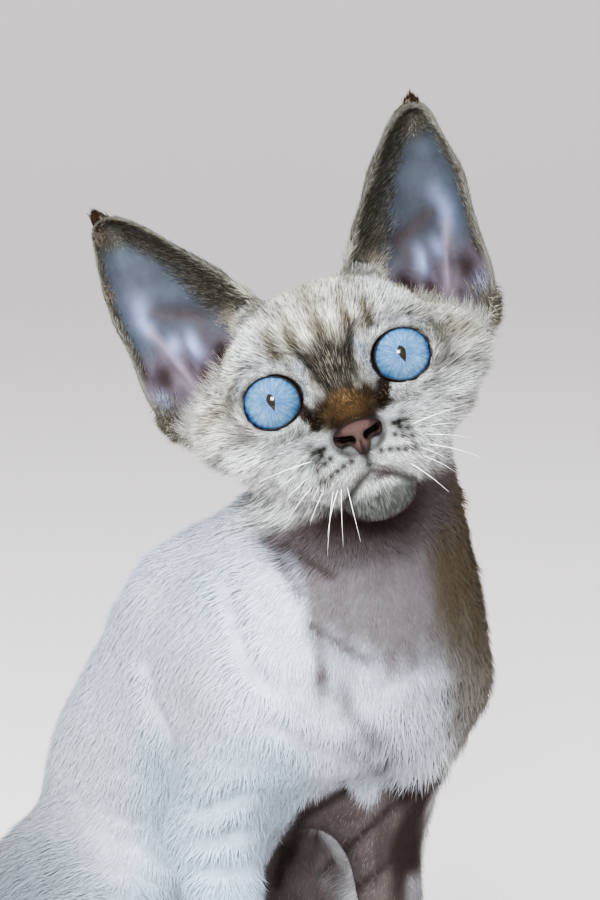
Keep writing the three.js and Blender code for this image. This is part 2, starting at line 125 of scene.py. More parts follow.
back = Vector((
    math.sin(CAMERA_AZIMUTH) * math.cos(CAMERA_HEIGHT),
    -math.cos(CAMERA_AZIMUTH) * math.cos(CAMERA_HEIGHT),
    math.sin(CAMERA_HEIGHT),
))
right = Vector((math.cos(CAMERA_AZIMUTH), math.sin(CAMERA_AZIMUTH), 0))
up = back.cross(right)
across = (PICTURE[0] / 2 - EYES_PIXEL[0]) / PIXELS_PER_MM
down = (PICTURE[1] / 2 - EYES_PIXEL[1]) / PIXELS_PER_MM
aim = EYES_AT + right * across - up * down
camera_at = EYES_AT + back * CAMERA_AWAY

camera_data = bpy.data.cameras.new("camera")
camera_data.sensor_fit = "VERTICAL"
camera_data.sensor_height = SENSOR
camera_data.lens = PIXELS_PER_MM * CAMERA_AWAY / PICTURE[1] * SENSOR
camera = bpy.data.objects.new("camera", camera_data)
bpy.context.scene.collection.objects.link(camera)
view = (camera_at - aim).normalized()
level = Vector((0, 0, 1)).cross(view).normalized()
turn = Matrix((level, view.cross(level), view)).transposed().to_4x4()
camera.matrix_world = Matrix.Translation(camera_at * MM) @ turn
CAMERA_AXES = np.array(turn.to_3x3())
bpy.context.scene.camera = camera
print("lens:", round(camera_data.lens), "mm")


def picture_place(body_mm):
    """Where places in the part's frame are seen in the picture: pixels across and pixels down."""
    seen = (body_mm - np.array(camera_at)) @ CAMERA_AXES
    scale = PIXELS_PER_MM * CAMERA_AWAY / -seen[:, 2]
    return PICTURE[0] / 2 + seen[:, 0] * scale, PICTURE[1] / 2 - seen[:, 1] * scale


# %% [markdown]
# Small helpers that every piece uses: an operator works on all that is selected, so selection is
# always set first, and a finished modifier is applied so that the mesh is what the render shows.
# Shapes are moved in arrays of points, which is as sculpting with a named brush would.

# %% Helpers for meshes


def select_only(*objects):
    """Deselects all but these objects; the first is active."""
    bpy.ops.object.select_all(action="DESELECT")
    for each in objects:
        each.select_set(True)
    bpy.context.view_layer.objects.active = objects[0]


def apply_modifier(piece, kind, **settings):
    """Adds one modifier to a piece and applies it."""
    modifier = piece.modifiers.new(kind.lower(), kind)
    for name, value in settings.items():
        setattr(modifier, name, value)
    select_only(piece)
    bpy.ops.object.modifier_apply(modifier=modifier.name)


def add_piece(name, data):
    """A new object at the origin, in the scene."""
    piece = bpy.data.objects.new(name, data)
    bpy.context.scene.collection.objects.link(piece)
    return piece


def add_primitive(operator, name, **settings):
    """A primitive, as the start of a piece, added with nothing selected."""
    bpy.ops.object.select_all(action="DESELECT")
    operator(**settings)
    bpy.context.object.name = name
    return bpy.context.object


def copy_of(piece, name):
    """A copy in the scene, with a mesh of its own and no parent."""
    twin = piece.copy()
    twin.data = piece.data.copy()
    twin.name = name
    twin.parent = None
    bpy.context.scene.collection.objects.link(twin)
    return twin


@contextmanager
def opened(piece):
    """A piece's mesh, opened for work on its corners and faces and written back at the end."""
    net = bmesh.new()
    net.from_mesh(piece.data)
    net.verts.ensure_lookup_table()
    yield net
    net.to_mesh(piece.data)
    net.free()


def relax(net, corners, times):
    """Evens out some of a net's corners."""
    axes = {"use_axis_x": True, "use_axis_y": True, "use_axis_z": True}
    for _ in range(times):
        bmesh.ops.smooth_vert(net, verts=corners, factor=0.5, **axes)


def face_outwards(piece):
    """Turns every face of a closed piece outwards."""
    select_only(piece)
    bpy.ops.object.mode_set(mode="EDIT")
    bpy.ops.mesh.select_all(action="SELECT")
    bpy.ops.mesh.normals_make_consistent(inside=False)
    bpy.ops.object.mode_set(mode="OBJECT")


def values_of(items, name, width=1, kind=np.float32):
    """One property of a mesh's corners, faces or loops, as an array with a row for each."""
    values = np.zeros(len(items) * width, kind)
    items.foreach_get(name, values)
    return values.reshape(-1, width) if width > 1 else values


def points_of(mesh):
    return values_of(mesh.vertices, "co", 3).astype(float)


def normals_of(mesh):
    return values_of(mesh.vertex_normals, "vector", 3).astype(float)


def set_points(mesh, places):
    mesh.vertices.foreach_set("co", places.astype(np.float32).ravel())
    mesh.update()


# %% [markdown]
# Soft shapes come from a few curves: a step, a hump, an oval and an egg that fade at their edges,
# a line that fades to both sides, and hills that look random and are the same on every run.
# Relief, markings and the coat are all drawn with them.

# %% Helpers for soft shapes


def smoothstep(low, high, values):
    t = np.clip((values - low) / (high - low), 0, 1)
    return t * t * (3 - 2 * t)


def hump(values, centre, width):
    """1 at the centre, falling to nothing over the width on both sides."""
    return np.exp(-((values - centre) / width) ** 2)


def spot(places, centre, radii):
    """1 at the centre of an egg of these radii, falling softly to nothing outside it."""
    return np.exp(-(((places - np.array(centre)) / np.array(radii)) ** 2).sum(-1))


def oval(x, z, centre, radii):
    """1 at a place in the face's plane, falling softly to nothing outside an oval of these radii."""
    return np.exp(-(((x - centre[0]) / radii[0]) ** 2) - ((z - centre[1]) / radii[1]) ** 2)


def unit(vectors):
    return vectors / np.maximum(np.linalg.norm(vectors, axis=-1, keepdims=True), 1e-9)


def unevenness(places, size, seed=0):
    """Soft random hills from -1 to 1, about one size across, the same on every run."""
    scaled = places / size + seed * 17.31
    cell = np.floor(scaled).astype(np.int64)
    part = scaled - cell
    part = part * part * (3 - 2 * part)
    total = np.zeros(len(places))
    for corner in np.ndindex(2, 2, 2):
        lattice = cell + np.array(corner)
        mixed = lattice[:, 0] * 73856093 ^ lattice[:, 1] * 19349663 ^ lattice[:, 2] * 83492791
        mixed = (mixed ^ (mixed >> 13)) * 1274126177 & 0x7FFFFFFF
        height = (mixed ^ (mixed >> 16)) % 65536 / 32767.5 - 1
        share = np.prod(np.where(corner, part, 1 - part), axis=1)
        total += height * share
    return total


def line_distance(x, z, corners):
    """Distance in the face's plane from a broken line, and how far along it the nearest place is."""
    best = np.full(len(x), 1e9)
    where = np.zeros(len(x))
    count = len(corners) - 1
    for k in range(count):
        a, b = np.array(corners[k], float), np.array(corners[k + 1], float)
        run = b - a
        share = np.clip(((x - a[0]) * run[0] + (z - a[1]) * run[1]) / (run @ run), 0, 1)
        gap = np.hypot(x - a[0] - share * run[0], z - a[1] - share * run[1])
        where = np.where(gap < best, (k + share) / count, where)
        best = np.minimum(gap, best)
    return best, where


def smooth_line(points, along):
    """Places on a smooth line through the points, spaced by the root of their distances."""
    points = np.array(points, float)
    steps = np.clip(along, 0, 1) * (len(points) - 1)
    start = np.minimum(steps.astype(int), len(points) - 2)
    part = (steps - start)[:, None]
    padded = np.vstack([2 * points[0] - points[1], points, 2 * points[-1] - points[-2]])
    a, b, c, d = (padded[start + k] for k in range(4))
    ab, bc, cd = (np.sqrt(np.linalg.norm(q - p, axis=1, keepdims=True)) for p, q in ((a, b), (b, c), (c, d)))
    out_of = ((b - a) / ab - (c - a) / (ab + bc) + (c - b) / bc) * bc
    into = ((c - b) / bc - (d - b) / (bc + cd) + (d - c) / cd) * bc
    return (
        b
        + out_of * part
        + (3 * (c - b) - 2 * out_of - into) * part ** 2
        + (2 * (b - c) + out_of + into) * part ** 3
    )


def stroke(x, z, corners, wide):
    """1 along a line in the face's plane, falling softly to nothing over the width."""
    return hump(line_distance(x, z, corners)[0], 0, wide)


# %% [markdown]
# ## Skin
# The real kitten has one skin. The solids are parted by cuts of 0.3 mm, so copies of them are
# swollen by a little more than half a cut, united, and drawn over with an even net of small
# faces by a voxel remesh. The head needs a finer net than the trunk, so the union is netted
# twice, both nets are cut through the middle of the neck, and the two loops are bridged.

# %% One body from the solids
APART = ["eye_left", "eye_right", "ear_left", "ear_right"]
FLESH = [name for name in sorted(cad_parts) if name not in APART]
CUT_SWELL = 0.2
SAME_PLACE = 0.002 * MM


def solid_copy(node, name):
    """A merged copy of a solid; the solid itself never changes."""
    piece = copy_of(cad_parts[node], name)
    with opened(piece) as net:
        bmesh.ops.remove_doubles(net, verts=net.verts, dist=SAME_PLACE)
    return piece


def flesh_copy(node):
    """A copy of a solid, swollen so that it overlaps its neighbours."""
    piece = solid_copy(node, "flesh")
    apply_modifier(piece, "DISPLACE", strength=CUT_SWELL * MM, mid_level=0)
    return piece


def unite(base, pieces):
    """Joins closed pieces to the base as one closed surface, and removes them."""
    others = bpy.data.collections.new("others")
    bpy.context.scene.collection.children.link(others)
    for piece in pieces:
        for home in list(piece.users_collection):
            home.objects.unlink(piece)
        others.objects.link(piece)
    apply_modifier(base, "BOOLEAN", operation="UNION", operand_type="COLLECTION",
                   collection=others, solver="MANIFOLD")
    for piece in pieces:
        bpy.data.objects.remove(piece)
    bpy.data.collections.remove(others)


PADS = [((29.0, -0.5, -2.5), (10.0, 10.0, 12.5)), ((13.0, 2.0, 16.5), (9.0, 10.0, 9.6))]


def pad(at, radii, side):
    """A ball that fills the fork between the head and the foot of the ear."""
    ball = add_primitive(bpy.ops.mesh.primitive_ico_sphere_add, "pad", subdivisions=4, radius=1)
    placed = points_of(ball.data) * radii + at
    set_points(ball.data, from_head(placed * (side, 1, 1)))
    if side < 0:
        ball.data.flip_normals()
    return ball


copies = [flesh_copy(node) for node in FLESH]
flesh = copies[0]
unite(flesh, copies[1:] + [pad(at, radii, side) for at, radii in PADS for side in (1, -1)])
tell("united flesh:", len(flesh.data.polygons), "faces")

# %% [markdown]
# The real skin has no seam at the neck, but a face needs smaller faces than a flank. A voxel net
# has one size, so there are two of them, one fine and one coarse. The fine one reaches a little
# way down the neck, where both will be cut.

# %% Two nets
BODY_NET = 1.9
HEAD_NET = 1.05
NECK_CUT = ((-9.9, -59.9, 166.0), (0.05, -0.3, 0.95))
NECK_MARGIN = 8.0


def keep_side(piece, point, normal, upper, fill):
    """Cuts a mesh with a plane and keeps what is above or below it."""
    select_only(piece)
    bpy.ops.object.mode_set(mode="EDIT")
    bpy.ops.mesh.select_all(action="SELECT")
    bpy.ops.mesh.bisect(plane_co=Vector(point) * MM, plane_no=normal, use_fill=fill,
                        clear_inner=upper, clear_outer=not upper)
    bpy.ops.object.mode_set(mode="OBJECT")


def largest_shell(piece):
    """Drops every loose scrap but the largest connected shell, and says how many there were."""
    shells = []
    with opened(piece) as net:
        left = set(net.verts)
        while left:
            front = [left.pop()]
            shell = list(front)
            while front:
                found = []
                for vertex in front:
                    for edge in vertex.link_edges:
                        far = edge.other_vert(vertex)
                        if far in left:
                            left.remove(far)
                            found.append(far)
                shell.extend(found)
                front = found
            shells.append(shell)
        shells.sort(key=len, reverse=True)
        bmesh.ops.delete(net, geom=[vertex for shell in shells[1:] for vertex in shell], context="VERTS")
    return len(shells) - 1


skin = copy_of(flesh, "skin")
head_net = copy_of(flesh, "head_net")
bpy.data.objects.remove(flesh)
below_neck = Vector(NECK_CUT[0]) - Vector(NECK_CUT[1]).normalized() * NECK_MARGIN
keep_side(head_net, below_neck, NECK_CUT[1], upper=True, fill=True)
apply_modifier(head_net, "REMESH", mode="VOXEL", voxel_size=HEAD_NET * MM)
apply_modifier(skin, "REMESH", mode="VOXEL", voxel_size=BODY_NET * MM)
print("scraps:", largest_shell(head_net), largest_shell(skin))
apply_modifier(head_net, "CORRECTIVE_SMOOTH", iterations=4, use_only_smooth=True)
apply_modifier(skin, "CORRECTIVE_SMOOTH", iterations=6, use_only_smooth=True)

# %% [markdown]
# ## Ears
# A Devon Rex's ears are huge, thin scoops, set low and wide. Each is a sheet between two edges:
# the inner edge rises from the brow and the outer one from the cheek. A grid is bent into that
# sheet, given its thickness, and raised into the ridges and hollows that lead to the ear canal.
# The marks along the outer edge are the small double fold of skin that all cats have there.

# %% The ear's sheet
EAR_INNER_EDGE = [
    (8, 0, 16), (12, -1, 26.5), (25.5, 4, 45.5), (35, 8.5, 56.6), (39.5, 10.5, 59.6), (42.5, 12, 60.4),
]
EAR_OUTER_EDGE = [
    (33, 5, -9), (43.5, 7, 1), (48, 7.5, 12), (48.2, 8.5, 24),
    (49.5, 10.5, 39), (47.6, 12, 53), (45.6, 12.2, 59), (42.5, 12, 60.4),
]
EAR_BACK = np.array([-0.28, 0.95, -0.08]) / np.linalg.norm([-0.28, 0.95, -0.08])
EAR_HOLLOW = 15.0
EAR_THICK = (1.8, 0.75)
EAR_GRID = (32, 48)
EAR_TOP = 0.985


def ear_sheet(across, along):
    """Middle of the ear's wall; across runs from -1 at the inner edge to 1, along from the root."""
    inner = smooth_line(EAR_INNER_EDGE, along)
    outer = smooth_line(EAR_OUTER_EDGE, along)
    share = ((across + 1) / 2)[:, None]
    hollow = EAR_HOLLOW * (1 - along) ** 0.75 * (1 - np.abs(across * 0.98) ** 2.4)
    return inner * (1 - share) + outer * share + EAR_BACK * hollow[:, None]


# hollows and bumps: (x, z) in the head's frame, radii, height in mm; then folds, from and to
EAR_SPOTS = [
    ((25.2, 15.8), (1.8, 3.8), -4.0), ((31.4, 13.2), (1.5, 3.0), -2.0), ((31.4, 21.0), (1.9, 3.6), 2.4),
    ((36.4, 23.2), (1.8, 2.8), 1.3), ((34.0, 17.5), (1.1, 4.5), -1.6), ((41.5, 16.2), (2.6, 3.0), -2.6),
    ((43.8, 10.5), (1.8, 2.6), 1.6), ((38.0, 10.5), (1.3, 3.5), -1.4),
]
EAR_FOLDS = [((40.7, 29.0), (35.0, 12.0), 1.5, 1.6), ((38.5, 32.5), (27.5, 28.5), 2.4, -1.5)]


def ear_relief(x, z, across):
    """How far the ear's inside stands forward, in millimetres: ridges, folds and the canal."""
    raised = np.zeros(len(x))
    for centre, radii, height in EAR_SPOTS:
        raised += height * oval(x, z, centre, radii)
    for start, end, wide, height in EAR_FOLDS:
        raised += height * stroke(x, z, [start, end], wide)
    return raised * smoothstep(1.0, 0.85, np.abs(across))


def ear_wall(side, name):
    """One ear in the head's frame: a bent grid with thickness; side is 1 for the left ear."""
    ear = add_primitive(bpy.ops.mesh.primitive_grid_add, name, x_subdivisions=EAR_GRID[0],
                        y_subdivisions=EAR_GRID[1], size=2)
    flat = points_of(ear.data)
    across = flat[:, 0]
    along = np.clip((flat[:, 1] + 1) / 2, 0, EAR_TOP)
    for label, values in (("across", across), ("along", along)):
        layer = ear.data.attributes.new(label, "FLOAT", "POINT")
        layer.data.foreach_set("value", values.astype(np.float32))
    set_points(ear.data, ear_sheet(across, along) * MM)
    apply_modifier(ear, "SOLIDIFY", thickness=2 * EAR_THICK[0] * MM, offset=0, use_even_offset=False)
    across, along = (values_of(ear.data.attributes[label].data, "value") for label in ("across", "along"))
    middle = ear_sheet(across, along)
    offset = points_of(ear.data) / MM - middle
    front = offset @ EAR_BACK < 0
    thin = (EAR_THICK[1] + (EAR_THICK[0] - EAR_THICK[1]) * (1 - along)) * (1 - 0.35 * np.abs(across))
    placed = middle + offset * (thin / EAR_THICK[0])[:, None]
    raised = ear_relief(middle[:, 0], middle[:, 2], across)
    placed -= EAR_BACK * np.where(front, raised, np.minimum(raised, 0))[:, None]
    placed[:, 0] *= side
    set_points(ear.data, from_head(placed))
    face_outwards(ear)
    apply_modifier(ear, "SUBSURF", levels=1, render_levels=1)
    return ear


ears = [ear_wall(1, "ear_wall_left"), ear_wall(-1, "ear_wall_right")]
unite(head_net, ears)
tell("head with ears:", len(head_net.data.polygons), "faces")

# %% [markdown]
# Both nets are cut by the same plane through the neck, a little apart, and their open loops are
# bridged with new faces. Slivers on the loops are merged first, and the seam is then evened out
# over half a centimetre on both sides, so that it can't be seen under the short hair there.

# %% The bridge in the neck
NECK_GAP = 1.2
SLIVER = 0.45
NECK_BLEND = 5.0
SEAM_PASSES = 14
neck_at = np.array(NECK_CUT[0])
neck_up = np.array(NECK_CUT[1]) / np.linalg.norm(NECK_CUT[1])
keep_side(head_net, neck_at + neck_up * NECK_GAP / 2, neck_up, upper=True, fill=False)
keep_side(skin, neck_at - neck_up * NECK_GAP / 2, neck_up, upper=False, fill=False)
select_only(skin, head_net)
bpy.ops.object.join()
bpy.ops.object.mode_set(mode="EDIT")
bpy.ops.mesh.select_mode(type="EDGE")
bpy.ops.mesh.select_all(action="DESELECT")
bpy.ops.mesh.select_non_manifold()
bpy.ops.mesh.remove_doubles(threshold=SLIVER * MM)
bpy.ops.mesh.select_all(action="DESELECT")
bpy.ops.mesh.select_non_manifold()
bpy.ops.mesh.bridge_edge_loops()
bpy.ops.mesh.select_all(action="SELECT")
bpy.ops.mesh.normals_make_consistent(inside=False)
bpy.ops.object.mode_set(mode="OBJECT")
with opened(skin) as net:
    seam = [vertex for vertex in net.verts
            if abs((np.array(vertex.co) / MM - neck_at) @ neck_up) < NECK_BLEND]
    relax(net, seam, SEAM_PASSES)


def net_report(piece):
    with opened(piece) as net:
        loose = sum(not edge.is_manifold for edge in net.edges)
        triangles = sum(len(face.verts) - 2 for face in net.faces)
    tell(piece.name, "open edges:", loose, "triangles:", triangles)


net_report(skin)

# %% [markdown]
# ## The face's modelling
# The net is too coarse for lids and lips, so its faces round the eyes and on the muzzle are
# divided once more. Then the mouth line, the lips, the brow fold and the inner corners of the
# eyes are pushed in and pulled out in the head's frame, as with a small brush.

# %% Finer faces round the eyes and mouth
EYE_AT = np.array([16.8, -14.4, 0.0])
GLOBE = 9.6


def mirrored(places):
    """The same places with the right half of the head folded over the left."""
    return np.column_stack([np.abs(places[:, 0]), places[:, 1:]])


def head_reach(heads_mm):
    """How far out a place is from the skull's middle, in skulls; the back of the skull is longer."""
    deep = np.where(heads_mm[:, 1] < -9, 38, 38 + 14 * smoothstep(-30, -10, heads_mm[:, 2]))
    wide = np.full(len(deep), 37.0)
    return np.linalg.norm((heads_mm - (0, -9, -4)) / np.column_stack([wide, deep, wide]), axis=1)


def head_share(heads_mm):
    """1 on the head and 0 on the neck and body, for places in the head's frame."""
    return smoothstep(1.2, 1.1, head_reach(heads_mm))


def face_share(places):
    """1 where the face needs small faces, in the head's frame."""
    folded = mirrored(places)
    near_eye = np.linalg.norm((folded - EYE_AT) * (1, 0.5, 1), axis=1) < 10.5
    muzzle = (folded[:, 0] < 14) & (folded[:, 1] < -22) & (folded[:, 2] < -9) & (folded[:, 2] > -37)
    return near_eye & (folded[:, 1] < -14) | muzzle


with opened(skin) as net:
    fine = face_share(in_head(np.array([vertex.co for vertex in net.verts])))
    chosen = [edge for edge in net.edges if fine[edge.verts[0].index] and fine[edge.verts[1].index]]
    bmesh.ops.subdivide_edges(net, edges=chosen, cuts=1, use_grid_fill=True, smooth=0.6)
    bmesh.ops.triangulate(net, faces=[face for face in net.faces if len(face.verts) > 4])
    net.verts.index_update()
    on_corners = {}
    for face in net.faces:
        on_corners.setdefault(tuple(sorted(vertex.index for vertex in face.verts)), []).append(face)
    doubled = [face for faces in on_corners.values() if len(faces) > 1 for face in faces]
    bmesh.ops.delete(net, geom=doubled, context="FACES_ONLY")
    bmesh.ops.delete(net, geom=[edge for edge in net.edges if edge.is_wire], context="EDGES")
print("faces that lay on one another:", len(doubled))
net_report(skin)

# %% [markdown]
# Loose skin is what gives the breed its look: soft rolls on the trunk, creases on the shoulder
# and foreleg, full whisker pads and a lower lip that stands back. All of it is a height over the
# skin, drawn where it is seen: on the face in the head's frame and on the body in the picture.

# %% Lids, lips and folds
MOUTH = [(0, -24.4), (3.2, -25.9), (6.3, -28.0), (9.0, -30.0), (10.6, -31.2)]
PHILTRUM = [(0, -18.8), (0, -24.4)]
# height in millimetres, centre and radii in the head's frame
FACE_BUMPS = {
    "whisker pad": (1.5, (8.4, -31, -21.5), (6.0, 12, 5.5)),
    "chin": (0.4, (0, -33, -32.5), (8.0, 12, 4.2)),
    "hollow behind the mouth": (-1.5, (15.5, -22, -27.5), (4.0, 9, 4.5)),
    "hollow beside the nose": (-1.0, (9.5, -25, -12.2), (3.0, 9, 2.2)),
    "cheek": (0.8, (24, -10, -12), (6, 9, 7)),
}
BODY_ROLL = np.array((24.0, 24.0, 8.0))
SHOULDER_CREASES = [
    [(230, 560), (233, 600), (241, 640), (258, 672), (286, 694)], [(262, 716), (300, 738), (346, 764)],
    [(186, 812), (226, 800), (268, 788)], [(184, 842), (222, 836), (262, 828)],
    [(192, 868), (226, 866), (258, 862)], [(140, 640), (150, 700), (172, 750)],
]


def body_relief(body_mm):
    """Soft rolls of loose skin on the trunk and legs, and creases on the shoulder, in millimetres."""
    relief = 0.7 * unevenness(body_mm, BODY_ROLL, 11)
    across, down = picture_place(body_mm)
    for crease in SHOULDER_CREASES:
        gap, along = line_distance(across, down, crease)
        fade = smoothstep(0, 0.2, along) * smoothstep(1, 0.8, along) * (body_mm[:, 0] < 0)
        relief += (0.9 * hump(gap, 15, 8) - 1.1 * hump(gap, 0, 6)) * fade
    return relief


def face_relief(places):
    """How far the skin moves out along its normal, in millimetres, for places in the head's frame."""
    folded = mirrored(places)
    x, y, z = folded.T
    ahead = smoothstep(-16, -22, y)
    mouth_gap, mouth_along = line_distance(x, z, MOUTH)
    relief = -1.3 * hump(mouth_gap, 0, 0.8) * ahead * smoothstep(1.05, 0.75, mouth_along)
    relief -= 1.1 * stroke(x, z, PHILTRUM, 0.8) * ahead
    for height, centre, radii in FACE_BUMPS.values():
        relief += height * spot(folded, centre, radii)
    ring = np.hypot(x - EYE_AT[0], z * 1.12)
    near = smoothstep(-8, -14, y)
    relief += 0.9 * hump(ring, 9.2, 1.3) * near * smoothstep(-9, 4, z)
    relief -= 0.9 * hump(ring, 12.0, 1.2) * near * smoothstep(-2, 5, z)
    relief -= 2.6 * smoothstep(1.0, 0.75, np.hypot(x / 7.4, (z + 15.3) / 5.0)) * smoothstep(-26, -31, y)
    return relief


# %% [markdown]
# Hair has a depth, so the skin lies inside the solids by as much as the coat is deep there: least
# on the ears and the lids, and most on the trunk. To know where the ears are, each point of the
# skin looks up the nearest place on the ear's sheet, and whether it faces forwards.

# %% Coat depth
COAT_DEPTH = {"face": 0.9, "head": 1.2, "ear": 0.25, "lid": 0.15, "body": 1.6, "neck": 0.6, "paw": 0.9}
SHEET_ACROSS, SHEET_ALONG = 41, 81

places = points_of(skin.data)
heads = in_head(places)
ear_across = np.repeat(np.linspace(-1, 1, SHEET_ACROSS), SHEET_ALONG)
ear_along = np.tile(np.linspace(0, EAR_TOP, SHEET_ALONG), SHEET_ACROSS)


def search_tree(places):
    """A tree that finds the nearest of these places."""
    tree = KDTree(len(places))
    for k, place in enumerate(places):
        tree.insert(place, k)
    tree.balance()
    return tree


ear_tree = search_tree(ear_sheet(ear_across, ear_along))


def ear_map(heads_mm, facing):
    """For places in the head's frame: how near an ear, where across and along, and on its front?"""
    folded = mirrored(heads_mm)
    facing = facing * np.column_stack([np.sign(heads_mm[:, 0]), np.ones((len(folded), 2))])
    across, along = np.zeros(len(folded)), np.zeros(len(folded))
    gap = np.full(len(folded), 1e3)
    front = np.zeros(len(folded), bool)
    for k in np.nonzero((folded[:, 0] > 4) & (folded[:, 1] > -9) & (folded[:, 2] > -16))[0]:
        _, index, gap[k] = ear_tree.find(folded[k])
        across[k], along[k] = ear_across[index], ear_along[index]
        front[k] = facing[k] @ EAR_BACK < 0
    gap = np.maximum(gap - np.abs(ear_relief(folded[:, 0], folded[:, 2], across)), 0)
    return gap, across, along, front


ear_gap, ear_u, ear_t, ear_front = ear_map(heads, normals_of(skin.data) @ FROM_HEAD[:3, :3])
tell("points on the ears:", int((ear_gap < 1).sum()))

# %% [markdown]
# The skin now moves along its normals, in by the coat's depth and out by the relief. The narrow
# fork between cheek and ear is filled afterwards by evening it out, since on the kitten loose
# skin and hair close it.

# %% Shrinking the skin to the coat's roots
SOLE_LIFT = 0.2
FORK_PASSES = 45
LID_OPENING = (7.3, 6.5)
LID_INSET = 0.05


def ear_cover_top(x):
    """How high the cheek's hair reaches over the foot of the ear, for a place x out from the middle."""
    return 15.0 - 0.8 * (x - 23)


def lid_reach(folded, inset=0.0):
    """1 on the rim of the lids' opening, seen from the front, and more outside it."""
    wide, tall = (radius - inset for radius in LID_OPENING)
    return np.hypot((folded[:, 0] - EYE_AT[0]) / wide, folded[:, 2] / tall)


body_mm = places / MM
on_head = head_share(heads)
on_face = on_head * smoothstep(-4, -16, heads[:, 1])
on_paw = smoothstep(26, 16, body_mm[:, 2]) * (body_mm[:, 1] < 60)
on_neck = smoothstep(122, 146, body_mm[:, 2]) * (1 - on_head)
on_ear = smoothstep(3.2, 1.6, ear_gap)
by_lid = smoothstep(1.7, 1.2, lid_reach(mirrored(heads), LID_INSET)) * smoothstep(-6, -12, heads[:, 1])
depth = np.full(len(places), COAT_DEPTH["body"])
shares = {"paw": on_paw, "neck": on_neck, "head": on_head, "face": on_face, "ear": on_ear, "lid": by_lid}
for place, share in shares.items():
    depth += (COAT_DEPTH[place] - depth) * share
above_floor = smoothstep(6, 20, body_mm[:, 2])
relief = face_relief(heads) * on_face + body_relief(body_mm) * (1 - on_head) * above_floor
moved = places + normals_of(skin.data) * ((relief - depth) * MM)[:, None]
moved[:, 2] = np.maximum(moved[:, 2], SOLE_LIFT * MM)
set_points(skin.data, moved)
apply_modifier(skin, "CORRECTIVE_SMOOTH", iterations=2, use_only_smooth=True, factor=0.4)
folded = mirrored(heads)
facing = normals_of(skin.data) @ FROM_HEAD[:3, :3]
groove = (folded[:, 0] > 21) & (folded[:, 2] > -16) & (folded[:, 2] < ear_cover_top(folded[:, 0]) + 2)
groove &= (folded[:, 1] > -13) & (folded[:, 1] < 9) & (facing[:, 1] < 0.15)
with opened(skin) as net:
    relax(net, [net.verts[k] for k in np.nonzero(groove)[0]], FORK_PASSES)
tell("filled points between head and ears:", int(groove.sum()))

# %% [markdown]
# The unwrap isn't for a picture: it gives every place on the skin an address of its own, and a
# lock of hair takes the address of its root. Automatic seams are good enough for that.

# %% An unwrap of the skin
select_only(skin)
bpy.ops.object.shade_smooth()
bpy.ops.object.mode_set(mode="EDIT")
bpy.ops.mesh.select_all(action="SELECT")
bpy.ops.uv.smart_project(angle_limit=math.radians(70), island_margin=0.002)
bpy.ops.object.mode_set(mode="OBJECT")
skin.data.uv_layers[0].name = "OFBake"
tell("unwrapped")

# %% [markdown]
# ## Markings
# A lynx point is cream and grey-white, with brown-grey tabby marks where the body is coolest: the
# brow, the ears, the feet and the tail. Every mark is a named patch in the head's or the body's
# frame. The same function colours the skin and the coat, so the two always agree.

# %% Colours


def paint_of(red, green, blue):
    """A colour given in everyday 0 to 255 values, as the light values that Blender mixes."""
    value = np.array([red, green, blue]) / 255
    return np.where(value < 0.04045, value / 12.92, ((value + 0.055) / 1.055) ** 2.4)


WHITE_COAT = paint_of(214, 228, 243)
CREAM_COAT = paint_of(226, 216, 198)
MUZZLE_COAT = paint_of(236, 242, 243)
HEAD_CREAM = paint_of(226, 224, 212)
CHIN_COAT = paint_of(112, 116, 114)
LIP_SKIN = paint_of(120, 112, 116)
DARK_MARK = paint_of(66, 62, 55)
BROWN_MARK = paint_of(104, 94, 76)
SPOT_MARK = paint_of(54, 47, 38)
NOSE_BRIDGE = paint_of(120, 96, 66)
BRIDGE_EDGE = paint_of(92, 76, 56)
CORNER_MARK = paint_of(60, 47, 37)
LID_SKIN = paint_of(40, 30, 29)
CHEST_COAT = paint_of(107, 97, 98)
BELLY_SKIN = paint_of(132, 122, 120)
BELLY_CREASE = paint_of(62, 48, 45)
THROAT_COAT = paint_of(64, 49, 42)
OLIVE_SHADE = paint_of(94, 84, 66)
PAW_COAT = paint_of(172, 162, 148)
TAIL_COAT = paint_of(142, 127, 110)
EAR_LILAC = paint_of(61, 67, 75)
EAR_PINK = paint_of(104, 96, 106)
EAR_GLEAM = paint_of(138, 150, 186)
EAR_SHADOW = paint_of(60, 51, 52)
EAR_CANAL = paint_of(38, 22, 20)
EAR_DARK = paint_of(96, 91, 80)
EAR_EDGE = paint_of(134, 134, 128)
EAR_BACK_COAT = paint_of(152, 143, 130)
TUFT_BROWN = paint_of(58, 44, 36)


def painted(ground, layers):
    """Paints laid over a ground one after another, each by its share from 0 to 1."""
    for paint, share in layers:
        ground = ground + (paint - ground) * np.clip(share, 0, 1)[:, None]
    return ground


# %% [markdown]
# On the face the tabby's lines fan out from a dark patch over the nose. The right half follows the
# left one, and soft unevenness keeps the edges from looking drawn. The muzzle is nearly white,
# with rows of dark spots where the whiskers are rooted, and the mouth's line is bare skin.

# %% The head's markings
# places in the face's plane, x out from the middle and z up
WHISKER_SPOTS = [
    (12.4, -13.7), (9.1, -15.4), (10.8, -15.4), (12.5, -16.0), (10.3, -16.9), (12.1, -17.9), (8.5, -18.2),
    (10.4, -19.1), (12.4, -20.0), (3.9, -20.6), (6.1, -21.1), (8.0, -21.7), (9.9, -22.4), (12.0, -22.9),
]
SPOT_RADIUS = 0.95
EYE_CORNER = [(10.9, -4.4), (10.2, -6.4), (8.7, -9.2)]


